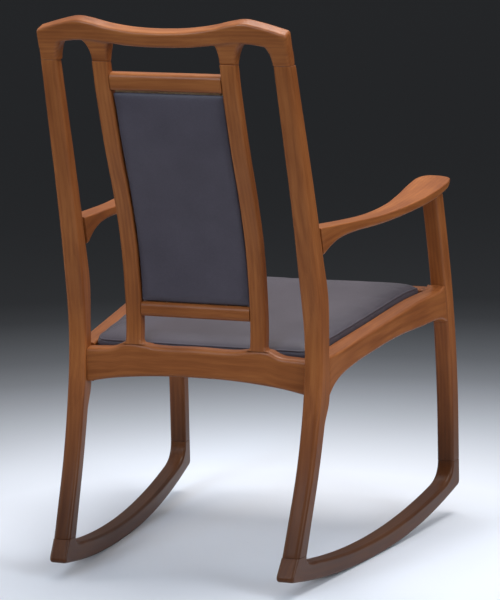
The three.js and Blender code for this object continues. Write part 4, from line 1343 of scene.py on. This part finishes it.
@dataclass
class BackPanel(Pad):
    """The upholstered back panel, recessed between the stiles and bent with them."""

    voxel: float = 4.0
    half_width: float = 109.1
    low: float = 501.2
    high: float = 909.0
    rear_depth: float = 6.0
    front_depth: float = 28.0

    def corners(self) -> list[tuple[float, float, float]]:
        """The panel's plan, a plain rectangle with small corners."""
        w = self.half_width
        return [(-w, self.low, 2.5), (w, self.low, 2.5), (w, self.high, 2.5), (-w, self.high, 2.5)]

    def place(self, p: Array, q: Array, h: Array) -> Array:
        """Plan is the panel's face, and height is forwards from its rear face."""
        return np.stack([p, LINES.stile_rear(q) - self.rear_depth - h, q], -1)

    def floor(self, q: Array) -> Array:
        """The rear face."""
        return np.zeros_like(q)

    def ceiling(self, q: Array) -> Array:
        """The front face at its edge."""
        return np.full_like(q, self.front_depth - self.rear_depth - 3)

    def limit(self, points: Array) -> Array:
        """Both faces may swell, the front more than the rear."""
        depth = LINES.stile_rear(points[:, 2]) - self.rear_depth - points[:, 1]
        return 0.4 + self.swell * smoothstep(depth, 14, 20) + 1.6 * (1 - smoothstep(depth, 1, 4))

    @property
    def normal(self) -> Array:
        """The way the panel faces."""
        return np.array([0.0, -1.0, 0.0])

    def build(self) -> list[bpy.types.Object]:
        """The panel and the welts round both of its faces."""
        panel = new_mesh("back_panel.padded", [self.form(4.0, 5.0)])
        self.stuff(panel)
        settle(panel, self.leather, ["back_panel_cover", "back_panel_foam"])
        plan = self.outline()
        path = self.on_surface(panel, self.place(plan[:, 0], plan[:, 1], self.ceiling(plan[:, 1]) - 1.5), 0.2)
        welt = settle(self.welt("back_panel.welt", path, 1.6), self.leather, [])
        return [panel, welt]


# ------------------------------------------------------------------ carried-over solids and studio


@dataclass(frozen=True)
class CarriedOver:
    """The joinery, boards and screws that keep their solids and get a better finish."""

    finishes: Finishes

    def dress(self) -> None:
        """Gives each solid that still shows the finish of its slot."""
        slots = {s["node"]: s["material_slot"] for s in frame["record"]["subparts"]}
        made = {"inner_wood": self.finishes.inner_wood.build(), "screw_steel": self.finishes.steel.build()}
        for name, node in frame["nodes"].items():
            material = made.get(slots.get(name, ""))
            if material is not None:
                node.data.materials.clear()
                node.data.materials.append(material)
                LOG.info("%s keeps its solid, in %s", name, material.name)


@dataclass(frozen=True)
class Studio:
    """A plain pale floor, a backdrop that darkens outwards as painted shade, soft lamps, a dim room and the
    camera.
    """

    lens: float = 208.96
    eye: Colour = (-2.477, 6.100, 1.614)
    right: Colour = (-0.9279, -0.3725, -0.0129)
    up: Colour = (0.0516, -0.1626, 0.9854)
    room: tuple[float, float] = (0.05, 0.55)
    floor_edge: float = 0.65
    backdrop_rings: tuple[float, ...] = (1.0, 1.5, 2.4, 4.0, 8.0, 16.0, 40.0)
    # painted shade: past the first stop, the paper's grey falls outwards as the lamps' light would
    paper_grey_and_painted_falloff: tuple[tuple[float, float], ...] = (
        (0.65, 0.74), (0.80, 0.66), (0.95, 0.56), (1.10, 0.46), (1.25, 0.375), (1.47, 0.27), (1.70, 0.175),
        (1.96, 0.112), (2.22, 0.078), (2.52, 0.042), (2.83, 0.027), (4.50, 0.024),
    )

    def sheet(self, radii: tuple[float, ...], paper: PaperFinish) -> None:
        """A level sheet of paper about the chair, just under the rockers.

        Args:
            radii: radii of its rings of points, from the inside outwards, in metres.
            paper: its finish.
        """
        radius = np.array(radii)
        n = 96
        angle = np.linspace(0, 2 * np.pi, n, endpoint=False)
        points = np.stack([radius[:, None] * np.cos(angle), radius[:, None] * np.sin(angle),
                           np.zeros((len(radius), n))], -1)
        i, j = np.meshgrid(np.arange(len(radius) - 1), np.arange(n), indexing="ij")
        k = (j + 1) % n
        quads = np.stack([i * n + j, (i + 1) * n + j, (i + 1) * n + k, i * n + k], -1).reshape(-1, 4)
        mesh = bpy.data.meshes.new(paper.name)
        mesh.from_pydata(points.reshape(-1, 3).tolist(), [], quads.tolist())
        mesh.update()
        mesh.materials.append(paper.build())
        made = bpy.data.objects.new(paper.name, mesh)
        bpy.context.scene.collection.objects.link(made)

    def lamp(self, name: str, place: Colour, aim: Colour, size: float, power: float, colour: Colour,
             spread: float = 180.0) -> None:
        """A square soft lamp.

        Args:
            name: the lamp's name.
            place: where it hangs.
            aim: the point that it faces.
            size: its side in metres.
            power: its power in watts.
            colour: its light.
            spread: the angle that its light is kept to, in degrees.
        """
        data = bpy.data.lights.new(name, "AREA")
        data.shape, data.size, data.energy, data.color = "SQUARE", size, power, colour
        data.spread = math.radians(spread)
        lamp = bpy.data.objects.new(name, data)
        lamp.location = place
        way = np.array(aim) - np.array(place)
        back = -way / np.linalg.norm(way)
        side = np.cross([0.0, 1.0, 0.0], back)
        side /= np.linalg.norm(side)
        turn = np.stack([side, np.cross(back, side), back], 1)
        lamp.matrix_world = Matrix.Translation(place) @ Matrix(turn.tolist()).to_4x4()
        bpy.context.scene.collection.objects.link(lamp)

    def world(self) -> None:
        """A dim room that is brighter overhead than at the horizon, shown dark behind the chair."""
        world = bpy.data.worlds.new("room")
        world.use_nodes = True
        bpy.context.scene.world = world
        tree = world.node_tree
        tree.nodes.clear()
        path = tree.nodes.new("ShaderNodeLightPath")
        fill = tree.nodes.new("ShaderNodeBackground")
        fill.inputs["Color"].default_value = (0.92, 0.96, 1.0, 1.0)
        way = tree.nodes.new("ShaderNodeTexCoord")
        height = tree.nodes.new("ShaderNodeSeparateXYZ")
        bright = tree.nodes.new("ShaderNodeMapRange")
        for number, value in ((1, 0.05), (2, 0.75), (3, self.room[0]), (4, self.room[1])):
            bright.inputs[number].default_value = value
        tree.links.new(way.outputs["Generated"], height.inputs[0])
        tree.links.new(height.outputs["Z"], bright.inputs[0])
        tree.links.new(bright.outputs[0], fill.inputs["Strength"])
        shown = tree.nodes.new("ShaderNodeBackground")
        shown.inputs["Color"].default_value = (0.012, 0.012, 0.012, 1.0)
        mix = tree.nodes.new("ShaderNodeMixShader")
        output = tree.nodes.new("ShaderNodeOutputWorld")
        tree.links.new(path.outputs["Is Camera Ray"], mix.inputs[0])
        tree.links.new(fill.outputs[0], mix.inputs[1])
        tree.links.new(shown.outputs[0], mix.inputs[2])
        tree.links.new(mix.outputs[0], output.inputs[0])

    def camera(self) -> None:
        """The camera, set by the directions of its right and up sides."""
        data = bpy.data.cameras.new("camera")
        data.sensor_fit, data.sensor_width, data.lens = "AUTO", 36.0, self.lens
        data.clip_start, data.clip_end = 0.1, 200.0
        made = bpy.data.objects.new("camera", data)
        right = np.array(self.right) / np.linalg.norm(self.right)
        up = np.array(self.up) - right * np.dot(right, self.up)
        up /= np.linalg.norm(up)
        turn = np.stack([right, up, np.cross(right, up)], 1)
        made.matrix_world = Matrix.Translation(self.eye) @ Matrix(turn.tolist()).to_4x4()
        bpy.context.scene.collection.objects.link(made)
        bpy.context.scene.camera = made

    def build(self) -> None:
        """Sets up the whole studio."""
        bpy.context.scene.view_settings.view_transform = "Standard"
        self.sheet((0.0005, 0.3, self.floor_edge), PaperFinish("floor", self.paper_grey_and_painted_falloff[:1]))
        self.sheet((self.floor_edge, *self.backdrop_rings), PaperFinish("backdrop", self.paper_grey_and_painted_falloff))
        self.world()
        self.camera()
        self.lamp("overhead", (-0.3, -0.45, 2.9), (0.0, 0.0, 0.4), 1.7, 66.0, (1.0, 0.99, 0.97))
        self.lamp("behind_top", (0.5, 2.4, 2.3), (0.0, 0.35, 1.15), 1.0, 4.6, (0.66, 0.82, 1.0), 50.0)
        self.lamp("outer_side", (-3.5, 1.2, 2.1), (0.0, 0.0, 0.6), 1.8, 26.0, (0.86, 0.94, 1.0), 110.0)
        self.lamp("far_side", (3.4, 0.6, 1.9), (0.0, 0.0, 0.6), 2.0, 16.0, (1.0, 0.98, 0.95), 110.0)


def main() -> None:
    """Builds the chair, dresses it and sets up the studio."""
    logging.basicConfig(level=logging.INFO, format="%(name)s: %(message)s")
    finishes = Finishes()
    wood, leather = finishes.frame_wood.build(), finishes.leather.build()
    for side in Side:
        SideFrame(side, wood).build()
    CrossFrame(wood).build()
    SeatPad(leather).build()
    BackPanel(leather).build()
    CarriedOver(finishes).dress()
    Studio().build()


if __name__ == "__main__":
    main()
